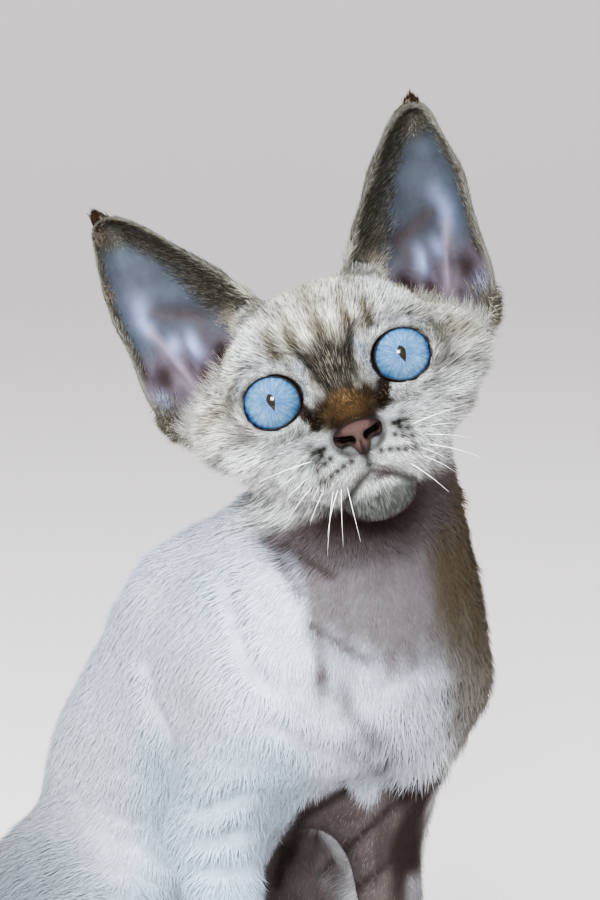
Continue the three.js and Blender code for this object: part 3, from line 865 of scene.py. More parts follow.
def tabby_layers(heads_mm, wobble, front):
    """Paints and shares of the cream ground's tabby lines: brow, crown, temples and cheeks."""
    x, y, z = mirrored(heads_mm).T
    low = smoothstep(2, -10, z + wobble)
    ticked = np.clip(0.25 + 0.45 * unevenness(heads_mm, 2.6, 8), 0, 1)
    ticked *= smoothstep(10, 20, x + 0.5 * np.abs(z))
    patch_width = 5.4 + 0.3 * np.clip(z, -2, 14)
    patch = smoothstep(patch_width + 1.2, patch_width - 1.6, x + wobble) * smoothstep(-6.5, -3.5, z)
    patch *= smoothstep(24, 12, z) * front
    stripes = 0.5 + 0.5 * np.cos(x / 1.2)
    patch_dark = DARK_MARK * 0.75
    patch_colour = patch_dark + (BROWN_MARK * 1.1 - patch_dark) * smoothstep(9, 15, z)[:, None]
    bar = hump(x, 12.4 + 0.1 * (z - 12), 1.9) * smoothstep(7.6, 9.8, z) * smoothstep(19.5, 15.5, z) * front
    temple = hump(z + 0.3 * x, 11.5, 2.0) * smoothstep(18, 22, x) * front
    cheek_line = hump(z + 0.25 * (x - 22), -4.5, 1.5) * smoothstep(21, 25, x)
    cheek_low = hump(z + 0.5 * (x - 22), -13, 1.8) * smoothstep(19, 24, x)
    crown = smoothstep(14, 22, z) * (0.5 + 0.5 * np.cos(x / 1.9 + wobble * 0.4)) * smoothstep(17, 9, x)
    beside_nose = hump(x + 0.12 * z, 8.7, 1.4) * smoothstep(-5, -1, z) * smoothstep(10, 5, z) * front
    above_eye = hump(np.hypot(x - EYE_AT[0], z * 1.06), 9.6, 1.1) * smoothstep(1, 5, z) * front
    return [
        (MUZZLE_COAT, np.maximum(low, hump(x, 19, 7) * front) * 0.9),
        (BROWN_MARK, ticked * 0.22),
        (patch_colour, patch * (1 - smoothstep(7, 14, z) * (1 - stripes) * 0.95) * 0.95),
        (BROWN_MARK, bar * 0.9),
        (BROWN_MARK, temple * 0.6),
        (BROWN_MARK, (cheek_line + cheek_low * 0.7) * 0.42),
        (BROWN_MARK, crown * 0.55),
        (WHITE_COAT * 0.75, beside_nose * 0.8 + above_eye * 0.4),
    ]


def muzzle_layers(heads_mm, wobble, front):
    """Paints and shares of the nose's bridge, the eyes' corners, the whisker spots and the mouth."""
    folded = mirrored(heads_mm)
    x, y, z = folded.T
    on_muzzle = smoothstep(-16, -22, y)
    edge = np.hypot(x / 11.0, (z + 8.0) / 5.4) + wobble * 0.14
    bridge = smoothstep(1.12, 0.72, edge) * smoothstep(-18, -24, y)
    ginger = hump(x, 0, 6.0) * hump(z, -8.5, 3.6) * 1.3 + 0.12 * wobble
    corner_gap, _ = line_distance(x, z, EYE_CORNER)
    ragged = 0.5 * unevenness(heads_mm, 0.9, 12) + 0.35 * unevenness(heads_mm, 2.2, 13)
    corner = smoothstep(2.7, 0.9, corner_gap + ragged) * smoothstep(-14, -20, y)
    corner += spot(folded, (13.2, -22, -10.3), (3.4, 8, 1.1)) * 0.6
    pad_top = hump(z + 0.25 * x, -14.8, 1.5) * hump(x, 9.0, 3.5) * smoothstep(-18, -24, y)
    spots = sum(oval(x, z, centre, (SPOT_RADIUS, SPOT_RADIUS)) for centre in WHISKER_SPOTS)
    chin = smoothstep(-27.5, -31, z + 0.08 * x) * smoothstep(12, 8, x)
    mouth_gap, mouth_along = line_distance(x, z, MOUTH)
    lips = hump(mouth_gap, 0, 0.95) * on_muzzle * smoothstep(1.05, 0.6, mouth_along)
    lips = np.maximum(lips, stroke(x, z, PHILTRUM, 0.65) * on_muzzle)
    outline = hump(np.hypot(x / 6.6, (z + 15.2) / 4.6), 1.0, 0.16) * smoothstep(-24, -30, y)
    return [
        (BRIDGE_EDGE, bridge),
        (NOSE_BRIDGE, bridge * np.clip(ginger, 0, 1)),
        (CORNER_MARK, corner),
        (MUZZLE_COAT, pad_top * 0.7),
        (SPOT_MARK, spots * 0.95 * smoothstep(-16, -20, y)),
        (CHIN_COAT, chin * front),
        (LIP_SKIN, spot(heads_mm, (1.5, -34, -26.6), (3.2, 12, 1.3)) * front),
        (CORNER_MARK, lips * np.where(heads_mm[:, 0] > 1, 0.75, 0.85)),
        (CORNER_MARK, outline * 0.7),
    ]


def head_colours(heads_mm):
    """The coat's colour at places in the head's frame."""
    folded = mirrored(heads_mm)
    x, y, z = folded.T
    left_x = heads_mm[:, 0]
    wobble = unevenness(heads_mm, 3.2, 3) * 0.9
    front = smoothstep(4, -8, y)
    colour = painted(np.tile(HEAD_CREAM, (len(x), 1)), tabby_layers(heads_mm, wobble, front))
    colour = painted(colour, muzzle_layers(heads_mm, wobble, front))
    shade = hump(np.hypot(x - EYE_AT[0], z * 1.05), 11.0, 3.0) * smoothstep(-8, -14, y)
    colour = colour * (1 - shade * (0.38 + 0.26 * unevenness(heads_mm, 1.4, 16)))[:, None]
    lit = 0.3 * smoothstep(-19, -28, left_x) * smoothstep(6, -2, z) * front
    pads = 0.24 * spot(heads_mm, (9, -31, -20), (5, 14, 5))
    pads -= 0.12 * spot(heads_mm, (-9, -31, -20), (6, 14, 5))
    lit += pads * front - 0.1 * smoothstep(4, 18, left_x) * smoothstep(-24, -10, y)
    colour = colour * (1 + lit)[:, None]
    return painted(colour, [(LID_SKIN, smoothstep(1.07, 1.02, lid_reach(folded)) * smoothstep(-8, -14, y))])


# %% [markdown]
# The body is white, cream towards the back, with a lilac chest where the hair is so thin that the
# skin shows, and dark bare skin between the forelegs. Those marks are drawn as they are seen, in
# the picture's pixels, and held to the depth of the body on which they lie, so that none of them
# comes out on the far side. The feet, the legs' faint bars and the ringed tail are hidden in the
# photograph and follow the breed.

# %% The body's markings
CHEST_BOTTOM = (
    (245, 257, 290, 303, 312, 335, 370, 403, 430, 445, 465),
    (490, 525, 572, 610, 645, 664, 680, 690, 680, 665, 650),
)
CHEST_STREAKS = [
    ((324, 686), (386, 752), 11, 0.6), ((352, 752), (376, 764), 12, 0.5), ((392, 690), (438, 676), 9, -0.3),
]
CHEST_FOLDS = [((285, 547), (332, 577), 5), ((312, 628), (368, 662), 5), ((262, 532), (300, 596), 6)]
BELLY_TOP = (
    (240, 255, 265, 274, 288, 302, 316, 330, 344, 358, 372, 386, 400, 428, 470),
    (990, 885, 868, 848, 824, 806, 796, 788, 778, 798, 804, 780, 782, 773, 770),
)
BELLY_CREASES = [
    ((300, 818), (290, 858), 7), ((303, 816), (356, 786), 5), ((322, 872), (392, 806), 4),
    ((352, 892), (420, 838), 4), ((278, 884), (284, 846), 6), ((400, 860), (424, 800), 10),
]


def belly_share(body_mm, across, down, waver):
    """1 on the nearly bare skin that is seen between the forelegs, and on their inner sides."""
    x, y, z = body_mm.T
    share = smoothstep(-6, 8, down - np.interp(across, *BELLY_TOP) + waver * 0.3)
    inner_side = 11 + 12 * smoothstep(-48, -58, y) + 12 * smoothstep(-26, -16, y) * smoothstep(82, 74, z)
    share *= smoothstep(2, -8, x - inner_side + waver * 0.15) * smoothstep(-34, -20, x)
    share *= smoothstep(34, 18, y) * smoothstep(124, 118, z) * (y > -100)
    foreleg = smoothstep(398, 412, across) * smoothstep(862, 884, down)
    above_floor = smoothstep(0, 20, z - 26 - 20 * smoothstep(-30, -44, y) + waver * 0.3)
    return share * (1 - 0.55 * foreleg) * above_floor


def body_colours(body_mm):
    """The coat's colour at places in the part's frame, in millimetres."""
    x, y, z = body_mm.T
    across, down = picture_place(body_mm)
    wobble = unevenness(body_mm, 14.0, 5) * 5
    waver = unevenness(body_mm, np.array((3.4, 3.4, 12.0)), 14) * 20 + unevenness(body_mm, 9.0, 15) * 12
    far_side = 1 - smoothstep(26, 2, x) * smoothstep(70, 20, y)
    ahead = smoothstep(-40, -56, y) * (1 - smoothstep(10, 26, x) * smoothstep(-80, -64, y + waver * 0.3))
    chest = smoothstep(40, -48, down - np.interp(across, *CHEST_BOTTOM) + waver * 1.25) * ahead * 0.9
    for start, end, wide, strength in CHEST_STREAKS:
        gap, _ = line_distance(across, down, [start, end])
        chest += strength * hump(gap + waver * 0.4, 0, wide) * ahead
    left_side = smoothstep(420, 464, across + waver * 0.7) * smoothstep(84, 104, z)
    left_side *= smoothstep(-58, -77, y + waver * 0.2) * (0.75 + 0.15 * smoothstep(112, 150, z))
    throat = spot(body_mm, (-22, -88, 180), (24, 24, 12)) * 1.4
    folds = [stroke(across, down, [start, end], wide) for start, end, wide in CHEST_FOLDS]
    belly = belly_share(body_mm, across, down, waver)
    creases = [stroke(across, down, [start, end], wide) for start, end, wide in BELLY_CREASES]
    layers = [
        (CREAM_COAT, 0.06 + 0.12 * unevenness(body_mm, 30.0, 6) + 0.4 * far_side),
        (CHEST_COAT, np.clip(chest, 0, 0.92)),
        (OLIVE_SHADE, left_side),
        (THROAT_COAT, np.clip(throat, 0, 0.95)),
        *((THROAT_COAT, 0.6 * fold * ahead) for fold in folds),
        (BELLY_SKIN, belly),
        (BELLY_CREASE, belly * smoothstep(372, 412, across + waver)),
        *((BELLY_CREASE, 0.85 * crease * belly) for crease in creases),
    ]
    colour = painted(np.tile(WHITE_COAT, (len(x), 1)), layers)
    flank = smoothstep(150, 40, across) * smoothstep(730, 890, down) * smoothstep(-60, -30, y)
    low = smoothstep(700, 800, down) * smoothstep(110, 150, across) * smoothstep(330, 280, across)
    low *= smoothstep(-8, -18, x) * smoothstep(10, -20, y)
    colour = colour * (1 - 0.55 * flank)[:, None] * (1 - low[:, None] * (0.17, 0.09, 0.03))
    legs = smoothstep(70, 30, z) * smoothstep(-20, -36, y)
    bars = 0.5 + 0.5 * np.sin((z + wobble * 0.3) / 3.1)
    feet = smoothstep(30, 8, z + wobble * 0.4) * smoothstep(46, 20, y + wobble)
    return painted(colour, [(BROWN_MARK, legs * (0.16 + 0.3 * bars)), (PAW_COAT, feet * 0.75)])


def tail_share(body_mm):
    """True on the tail, which lies on the floor behind and to the left."""
    x, y, z = body_mm.T
    return ((x > 45) & (z < 16)) | ((y > 83) & (z < 34)) | ((x > 36) & (z < 14) & (y < -30))


def throat_share(heads_mm):
    """1 under the chin, where the head's coat ends and the throat's begins."""
    return smoothstep(-27, -33, heads_mm[:, 2]) * smoothstep(-31, -24, heads_mm[:, 1])


def markings(points):
    """The coat's colour at places in metres, for the skin and for the coat alike."""
    body = points / MM
    heads_mm = in_head(points)
    blend = smoothstep(1.42, 1.02, head_reach(heads_mm) + 0.06 * unevenness(heads_mm, 3.0, 17))
    colour = painted(body_colours(body), [(head_colours(heads_mm), blend * (1 - throat_share(heads_mm)))])
    rings = 0.5 + 0.5 * np.sin((body[:, 1] * 0.8 + body[:, 0] * 0.4) / 4.2)
    tail_colour = TAIL_COAT * (0.75 + 0.9 * rings)[:, None]
    return np.where(tail_share(body)[:, None], tail_colour, colour)


# %% [markdown]
# The inside of a Devon Rex's ear is bare, thin and lilac, pink lower down, and pale where a ridge
# catches light. Dark hair edges it in a band on the inner side, at the tip and in the outer pocket.

# %% The ears' markings
EAR_INNER_LINE = [(place[0], place[2]) for place in EAR_INNER_EDGE]
EAR_OUTER_LINE = [(place[0], place[2]) for place in EAR_OUTER_EDGE]
# paint, strength, centre and radii of each patch inside the ear, in the face's plane
EAR_GLEAM_HIGH = (EAR_GLEAM, 0.5, (41.5, 33), (2.6, 5.5))
EAR_PATCHES = [
    (EAR_SHADOW, 0.6, (28.5, 24), (2.4, 4.0)), (EAR_CANAL, 1.0, (25.2, 15.6), (1.5, 3.4)),
    (EAR_CANAL * 1.6, 1.0, (31.4, 13.2), (1.1, 2.6)), (TUFT_BROWN * 0.6, 1.0, (46.6, 19.5), (1.6, 3.6)),
    (EAR_SHADOW * 0.8, 0.7, (41.5, 15.5), (2.8, 4.0)),
]
CANAL_SHADE = (EAR_CANAL * 1.3, 0.45, (27, 15.5), (4.5, 4.5))


def ear_marks(x, z):
    """Where an ear has hair inside, from 0 to 1: its dark band, tip and rim, and its outer pocket."""
    inner_gap, _ = line_distance(x, z, EAR_INNER_LINE)
    outer_gap, _ = line_distance(x, z, EAR_OUTER_LINE)
    wide = 4.0 + 0.2 * np.clip(43 - z, 0, 18)
    ragged = unevenness(np.column_stack([x, z, z]), 1.6, 6) * 0.8
    band = smoothstep(wide + 3.4, wide - 2.2, inner_gap + ragged)
    tip = smoothstep(50, 55, z + 0.3 * unevenness(np.column_stack([x, z, z]), 2.0, 4))
    rim = smoothstep(2.8, 0.9, outer_gap) * smoothstep(16, 22, z)
    pocket = oval(x, z, (43.8, 5.0), (3.2, 4.2))
    return band, np.maximum(tip, rim * 0.8), pocket


def ear_colours(folded, across, front, left):
    """Bare lilac and pink skin inside with a shaded canal, dark hair along the edges, brown behind."""
    x, z = folded[:, 0], folded[:, 2]

    def patch(paint, strength, centre, radii):
        return paint, oval(x, z, centre, radii) * strength

    relief = [
        patch(EAR_GLEAM if height > 0 else EAR_SHADOW, min(1.0, abs(height) / 2.6), centre, radii)
        for centre, radii, height in EAR_SPOTS
    ]
    inside = painted(np.tile(EAR_LILAC, (len(x), 1)), [
        (EAR_PINK, smoothstep(27, 16, z) * 0.75),
        (EAR_PINK * 1.25, stroke(x, z, EAR_FOLDS[0][:2], 1.3) * 0.7),
        *relief,
        patch(*EAR_GLEAM_HIGH),
        (EAR_SHADOW, stroke(x, z, EAR_FOLDS[1][:2], 2.4) * 0.7),
        *(patch(*row) for row in EAR_PATCHES),
    ])
    inside = inside * np.where(left, 0.78, 1.06)[:, None]
    band, tip, pocket = ear_marks(x, z)
    edge = (EAR_EDGE * 0.4, smoothstep(0.92, 0.98, np.abs(across)))
    hair = (EAR_DARK * 0.3, np.maximum(np.maximum(band, tip), pocket) * 0.85)
    inside = painted(inside, [patch(*CANAL_SHADE), hair, edge])
    behind = painted(np.tile(EAR_BACK_COAT * 0.55, (len(x), 1)), [edge])
    return np.where(front[:, None], inside, behind)


# %% [markdown]
# Under hair the skin lies in shade, so it takes the markings darkened, least where it is bare.
# The colours are stored on the mesh, since an export keeps them.

# %% Painting the skin
UNDER_COAT = {"head": 0.22, "body": 0.5, "belly": 0.34}


def store_colours(mesh, colours):
    layer = mesh.color_attributes.new("markings", "FLOAT_COLOR", "POINT")
    rgba = np.ones((len(colours), 4), np.float32)
    rgba[:, :3] = colours
    layer.data.foreach_set("color", rgba.ravel())


skin_places = points_of(skin.data)
skin_normals = normals_of(skin.data)
skin_body = skin_places / MM
skin_heads = in_head(skin_places)
folded_skin = mirrored(skin_heads)
bare_share = belly_share(skin_body, *picture_place(skin_body), np.zeros(len(skin_body)))
under = UNDER_COAT["body"] + (UNDER_COAT["belly"] - UNDER_COAT["body"]) * bare_share
under += (UNDER_COAT["head"] - under) * head_share(skin_heads)
skin_colours = markings(skin_places) * under[:, None]
ear_paint = ear_colours(folded_skin, ear_u, ear_front, skin_heads[:, 0] > 0)
store_colours(skin.data, painted(skin_colours, [(ear_paint, on_ear)]))
tell("markings on", len(skin_places), "points")

# %% [markdown]
# ## Materials
# Each finish is a shader of its own. Skin and coat share one group: it takes the markings stored
# on the mesh and breaks them up with a mottle read from Object coordinates, fine on the hair.

# %% Shader helpers


def new_finish(name, **plain):
    """A material with a Principled shader and its plain settings; gives material, tree and shader."""
    material = bpy.data.materials.new(name)
    material.use_nodes = True
    tree = material.node_tree
    shader = tree.nodes["Principled BSDF"]
    for word, value in plain.items():
        shader.inputs[SETTINGS[word]].default_value = value
    return material, tree, shader


SETTINGS = {
    "colour": "Base Color", "roughness": "Roughness", "specular": "Specular IOR Level",
    "under_skin": "Subsurface Weight", "under_colours": "Subsurface Radius",
    "under_depth": "Subsurface Scale",
    "wet": "Coat Weight", "wet_roughness": "Coat Roughness", "wet_ior": "Coat IOR",
}


def add_node(tree, kind, inputs=None, **settings):
    """A node with its settings, and inputs given as numbers or as other nodes' outputs."""
    node = tree.nodes.new(kind)
    for name, value in settings.items():
        setattr(node, name, value)
    for name, value in (inputs or {}).items():
        if isinstance(value, bpy.types.NodeSocket):
            tree.links.new(value, node.inputs[name])
        else:
            node.inputs[name].default_value = value
    return node


def math_of(tree, operation, first, second=0.0):
    return add_node(tree, "ShaderNodeMath", {0: first, 1: second}, operation=operation).outputs[0]


def ramp_of(tree, factor, stops):
    """A colour ramp through (place, colour) stops."""
    node = add_node(tree, "ShaderNodeValToRGB", {0: factor})
    while len(node.color_ramp.elements) < len(stops):
        node.color_ramp.elements.new(0.5)
    for element, (place, colour) in zip(node.color_ramp.elements, stops):
        element.position = place
        element.color = (*colour, 1)
    return node.outputs[0]


def mix_of(tree, share, first, second, **settings):
    """A mix of two colours by a share, or another blend of them."""
    inputs = {0: share, 6: first, 7: second}
    return add_node(tree, "ShaderNodeMix", inputs, data_type="RGBA", **settings).outputs[2]


def object_place(tree):
    return add_node(tree, "ShaderNodeTexCoord").outputs["Object"]


def noise_of(tree, vector, scale, detail):
    inputs = {"Vector": vector, "Scale": scale, "Detail": detail}
    return add_node(tree, "ShaderNodeTexNoise", inputs).outputs[0]


def add_bump(tree, shader, height, strength, distance):
    """Small relief from a height, on a finish."""
    bump = add_node(tree, "ShaderNodeBump", {"Height": height, "Strength": strength, "Distance": distance})
    tree.links.new(bump.outputs[0], shader.inputs["Normal"])


# %% [markdown]
# One group serves skin and coat, so a change of the mottle reaches both. Its inputs are the size
# of the mottle and its darkest shade, and it gives back a colour and nothing else.

# %% The markings' group


def markings_group():
    """Colours stored on the mesh, broken up by a fine mottle; skin and coat both read it."""
    group = bpy.data.node_groups.new("mottled_markings", "ShaderNodeTree")
    group.interface.new_socket("Fineness", in_out="INPUT", socket_type="NodeSocketFloat")
    group.interface.new_socket("Shade", in_out="INPUT", socket_type="NodeSocketColor")
    group.interface.new_socket("Colour", in_out="OUTPUT", socket_type="NodeSocketColor")
    given = group.nodes.new("NodeGroupInput")
    marks = add_node(group, "ShaderNodeAttribute", attribute_name="markings").outputs["Color"]
    grains = noise_of(group, object_place(group), given.outputs[0], 3.0)
    share = add_node(group, "ShaderNodeMapRange", {"Value": grains, "From Min": 0.35, "From Max": 0.65})
    shade = mix_of(group, share.outputs[0], given.outputs[1], (1, 1, 1, 1))
    tinted = mix_of(group, 1.0, marks, shade, blend_type="MULTIPLY")
    group.links.new(tinted, group.nodes.new("NodeGroupOutput").inputs[0])
    return group


MARKINGS_GROUP = markings_group()


def add_markings(tree, shader, fineness, shade):
    """Puts the markings' group in a finish, with the size of its mottle and its darkest shade."""
    group = add_node(tree, "ShaderNodeGroup", node_tree=MARKINGS_GROUP)
    group.inputs["Fineness"].default_value = fineness
    group.inputs["Shade"].default_value = (*shade, 1)
    tree.links.new(group.outputs[0], shader.inputs["Base Color"])


# %% [markdown]
# Skin is matt with a little light passing under it, and pores. A hair is matt too: its gloss is
# lost among its neighbours, so the coat has next to none.

# %% Skin and coat finishes
skin_finish, tree, shader = new_finish("kitten_skin", roughness=0.62, specular=0.25, under_skin=0.12,
                                       under_colours=(1.0, 0.4, 0.25), under_depth=0.002)
add_markings(tree, shader, 160.0, (0.78, 0.76, 0.76))
add_bump(tree, shader, noise_of(tree, object_place(tree), 900.0, 4.0), 0.35, 0.0006)
skin.data.materials.clear()
skin.data.materials.append(skin_finish)

coat_finish, tree, shader = new_finish("kitten_coat", roughness=0.8, specular=0.12)
add_markings(tree, shader, 700.0, (0.86, 0.85, 0.84))

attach(skin, "root")
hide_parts(*[node for node in FLESH if node != "nose"], "ear_left", "ear_right")

# %% [markdown]
# ## Eyes
# A kitten's eye is a ball with a steeper clear dome in front. Seen at this size the dome, the
# blue iris and the slit pupil read as one wet surface, so each eye is one turned ball whose front
# follows the dome, with a clear coat over a painted iris. The iris reads a flat map of the ball
# seen along its own gaze, in millimetres.

# %% Eyeballs
GAZE_OUT = math.radians(3.6)
DOME = {"radius": 8.5, "ahead": 2.0}
EYE_MAP_SIZE = 20.0


def aimed(local, side, angle):
    """Places given round an eye's middle, turned outwards, to the head's frame."""
    turned = np.column_stack([
        local[:, 0] * math.cos(angle) - local[:, 1] * math.sin(angle),
        local[:, 0] * math.sin(angle) + local[:, 1] * math.cos(angle),
        local[:, 2],
    ])
    turned[:, 0] *= side
    return turned + EYE_AT * (side, 1, 1)


def eyeball(side, name):
    """A ball with a steeper dome in front, and a map of it as seen along its gaze."""
    ball = add_primitive(bpy.ops.mesh.primitive_uv_sphere_add, name, segments=72, ring_count=54, radius=1)
    ray = points_of(ball.data)
    ray = np.column_stack([ray[:, 0], -ray[:, 2], ray[:, 1]])
    forward = -ray[:, 1]
    off_axis = DOME["ahead"] ** 2 * (1 - forward ** 2)
    dome = DOME["ahead"] * forward + np.sqrt(np.maximum(DOME["radius"] ** 2 - off_axis, 0))
    local = ray * np.maximum(GLOBE, np.where(forward > 0, dome, 0))[:, None]
    layer = ball.data.uv_layers.new(name="gaze")
    corner_of = values_of(ball.data.loops, "vertex_index", 1, np.int32)
    flat = local[:, [0, 2]] / EYE_MAP_SIZE + 0.5
    layer.data.foreach_set("uv", flat[corner_of].astype(np.float32).ravel())
    set_points(ball.data, from_head(aimed(local, side, GAZE_OUT)))
    face_outwards(ball)
    bpy.ops.object.shade_smooth()
    return ball


# %% [markdown]
# A kitten's blue iris is pale, with fibres that run out from the pupil, a soft cloudy ring and a
# dark rim. The pupil is a slit that is blunt above and drawn out to a point below. All of it is
# worked out from the place on the gaze's map, so that it stays sharp at any size.

# %% The iris
PUPIL = {"half_width": 1.08, "widest": 0.75, "above": 1.6, "below": 3.1}
PUPIL_BLACK = (0.012, 0.009, 0.004, 1)
FIBRES = {"round": 9.0, "outward": 0.55}
IRIS_RADIUS = 9.0
IRIS_RINGS = [
    (0.10, (88, 122, 158)), (0.28, (100, 134, 168)), (0.46, (118, 148, 174)),
    (0.66, (112, 144, 172)), (0.76, (92, 124, 160)), (0.83, (44, 60, 100)),
]
FIBRE_TONES = [(0.3, (0.24, 0.33, 0.43)), (0.5, (0.38, 0.46, 0.53)), (0.7, (0.66, 0.69, 0.7))]

eye_finish, tree, shader = new_finish("blue_eye", roughness=0.45, specular=0.15, wet=1.0, wet_roughness=0.015,
                                      wet_ior=1.35)
add, subtract, multiply, divide, power, largest, size_of = (
    partial(math_of, tree, word)
    for word in ("ADD", "SUBTRACT", "MULTIPLY", "DIVIDE", "POWER", "MAXIMUM", "ABSOLUTE")
)
gaze_map = add_node(tree, "ShaderNodeUVMap", uv_map="gaze").outputs[0]
parts = add_node(tree, "ShaderNodeSeparateXYZ", {0: gaze_map})
eye_x, eye_z = (multiply(subtract(parts.outputs[k], 0.5), EYE_MAP_SIZE) for k in (0, 1))
square = add(power(size_of(eye_x), 2.0), power(size_of(eye_z), 2.0))
from_middle = math_of(tree, "SQRT", square)
safe = largest(from_middle, 0.05)
fibre_place = add_node(tree, "ShaderNodeCombineXYZ", {
    0: multiply(divide(eye_x, safe), FIBRES["round"]),
    1: multiply(divide(eye_z, safe), FIBRES["round"]),
    2: multiply(from_middle, FIBRES["outward"]),
}).outputs[0]
cloud_place = add_node(tree, "ShaderNodeCombineXYZ", {0: eye_x, 1: eye_z, 2: 0.0}).outputs[0]
uneven = multiply(subtract(noise_of(tree, cloud_place, 0.45, 3.0), 0.5), 2.2)
ring_at = divide(add(from_middle, uneven), IRIS_RADIUS)
iris = ramp_of(tree, ring_at, [(place, tuple(paint_of(*paint))) for place, paint in IRIS_RINGS])
streak = ramp_of(tree, noise_of(tree, fibre_place, 1.0, 4.0), FIBRE_TONES)
woven = mix_of(tree, 1.0, iris, streak, blend_type="MULTIPLY")
above_widest = subtract(eye_z, PUPIL["widest"])
above = power(largest(divide(above_widest, PUPIL["above"]), 0.0), 2.2)
below = power(largest(divide(above_widest, -PUPIL["below"]), 0.0), 1.35)
width = multiply(subtract(1.0, add(above, below)), PUPIL["half_width"])
inside = subtract(width, size_of(eye_x))
pupil = add_node(tree, "ShaderNodeMapRange", {"Value": inside, "From Min": -0.06, "From Max": 0.1}).outputs[0]
tree.links.new(mix_of(tree, pupil, woven, PUPIL_BLACK), shader.inputs["Base Color"])

for side, word in SIDES:
    ball = eyeball(side, f"eyeball_{word}")
    ball.data.materials.append(eye_finish)
    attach(ball, "root")
    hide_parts(f"eye_{word}")

# %% [markdown]
# The edges of the lids are bare, dark and moist, a millimetre wide and a little wider at the
# corner by the nose. Each is a closed ring with a rounded section: its inner edge lies on the
# eyeball, its crest stands in front of it, and its outer edge goes under the coat.

# %% Lid rims
LID = {"half_width": 7.25, "half_height": 6.5, "splay": math.radians(7), "dome": (14.0, 9.4)}
LID_SECTION = [(0.98, 1.5), (0.99, 0.35), (1.012, -0.12), (1.04, -0.02), (1.075, 0.7), (1.04, 2.4)]
LID_STEPS = 96


def lid_rim(side, name):
    """A closed ring with a rounded section round the eye's opening, wider at the inner corner."""
    turns = np.linspace(0, 2 * math.pi, LID_STEPS, endpoint=False)
    corner = hump(np.angle(np.exp(1j * (turns - math.radians(212)))), 0, 0.3)
    rings = []
    for reach, lift in LID_SECTION:
        x = LID["half_width"] * reach * (1 + 0.04 * corner) * np.cos(turns)
        z = LID["half_height"] * reach * (1 + 0.04 * corner) * np.sin(turns)
        seat = LID["dome"][1] * np.sqrt(1 - (x * x + z * z) / LID["dome"][0] ** 2)
        rings.append(np.column_stack([x, lift - seat + 0.25, z]))
    local = np.stack(rings, 1).reshape(-1, 3)
    section = len(LID_SECTION)
    number = np.arange(LID_STEPS * section).reshape(LID_STEPS, section)
    ahead, beside = np.roll(number, -1, 0), np.roll(number, -1, 1)
    faces = np.stack([number, beside, np.roll(ahead, -1, 1), ahead], 2).reshape(-1, 4)
    mesh = bpy.data.meshes.new(name)
    mesh.from_pydata(from_head(aimed(local, side, LID["splay"])).tolist(), [], faces.tolist())
    rim = add_piece(name, mesh)
    face_outwards(rim)
    apply_modifier(rim, "SUBSURF", levels=2, render_levels=2)
    bpy.ops.object.shade_smooth()
    return rim


lid_finish, tree, shader = new_finish("moist_lid", roughness=0.5)
creases = noise_of(tree, object_place(tree), 1400.0, 3.0)
dark = ramp_of(tree, creases, [(0.3, tuple(LID_SKIN * 0.5)), (0.75, tuple(LID_SKIN * 1.5))])
tree.links.new(dark, shader.inputs["Base Color"])
add_bump(tree, shader, creases, 0.4, 0.0003)

for side, word in SIDES:
    rim = lid_rim(side, f"lid_rim_{word}")
    rim.data.materials.append(lid_finish)
    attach(rim, "root")

# %% [markdown]
# ## Nose
# The nose leather is a small bare pad, pinkish brown with a dark outline and two comma-shaped
# nostrils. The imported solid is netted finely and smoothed, then the nostrils, their slits and the
# groove down the middle are pressed in.

# %% Nose leather
NOSTRIL = [(2.3, -15.9), (3.7, -15.5), (5.4, -14.7), (7.2, -13.4)]
NOSE_PINK = paint_of(66, 52, 49)
NOSE_DARK = paint_of(36, 26, 24)
NOSE_NET = 0.28

nose = solid_copy("nose", "nose_leather")
apply_modifier(nose, "REMESH", mode="VOXEL", voxel_size=NOSE_NET * MM)
apply_modifier(nose, "CORRECTIVE_SMOOTH", iterations=10, use_only_smooth=True)
x, y, z = mirrored(in_head(points_of(nose.data))).T
slit_gap, slit_along = line_distance(x, z, NOSTRIL)
slit = hump(slit_gap, 0, 0.95 * (1 - 0.55 * slit_along))
middle_groove = hump(x, 0, 0.4) * smoothstep(-15.6, -17.2, z)
nose_relief = 0.25 - 1.9 * slit - 0.7 * middle_groove
front = smoothstep(0.1, 0.5, -(normals_of(nose.data) @ FROM_HEAD[:3, :3])[:, 1])
set_points(nose.data, points_of(nose.data) + normals_of(nose.data) * (nose_relief * front * MM)[:, None])
outline = smoothstep(-12.4, -11.7, z + 0.05 * x * x) + smoothstep(2.9, 4.4, x - 0.12 * (z + 13)) * 0.8
outline += smoothstep(-17.0, -19.4, z) * 0.75
store_colours(nose.data, painted(np.tile(NOSE_PINK, (len(x), 1)), [
    (NOSE_DARK, outline), (NOSE_DARK * 0.25, slit * 1.3), (NOSE_DARK, middle_groove * 0.7),
]))
select_only(nose)
bpy.ops.object.shade_smooth()
nose_finish, tree, shader = new_finish("nose_skin", roughness=0.55, specular=0.2)
marks = add_node(tree, "ShaderNodeAttribute", attribute_name="markings").outputs["Color"]
tree.links.new(marks, shader.inputs["Base Color"])
pebbles = add_node(tree, "ShaderNodeTexVoronoi", {"Vector": object_place(tree), "Scale": 1900.0})
add_bump(tree, shader, pebbles.outputs["Distance"], 0.35, 0.0003)
nose.data.materials.clear()
nose.data.materials.append(nose_finish)
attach(nose, "root")
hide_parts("nose")
tell("eyes, lids and nose")

# %% [markdown]
# ## Coat
# A Devon Rex has a short, thin coat that lies close and curls a little, so it breaks into small
# soft locks. Particle hair isn't kept by an export, so every lock here is a closed leaf of mesh
# with its root sunk in the skin. Roots are scattered by area, and each lock reads the skin's
# normal, the way the hair lies there, and the markings at its root.

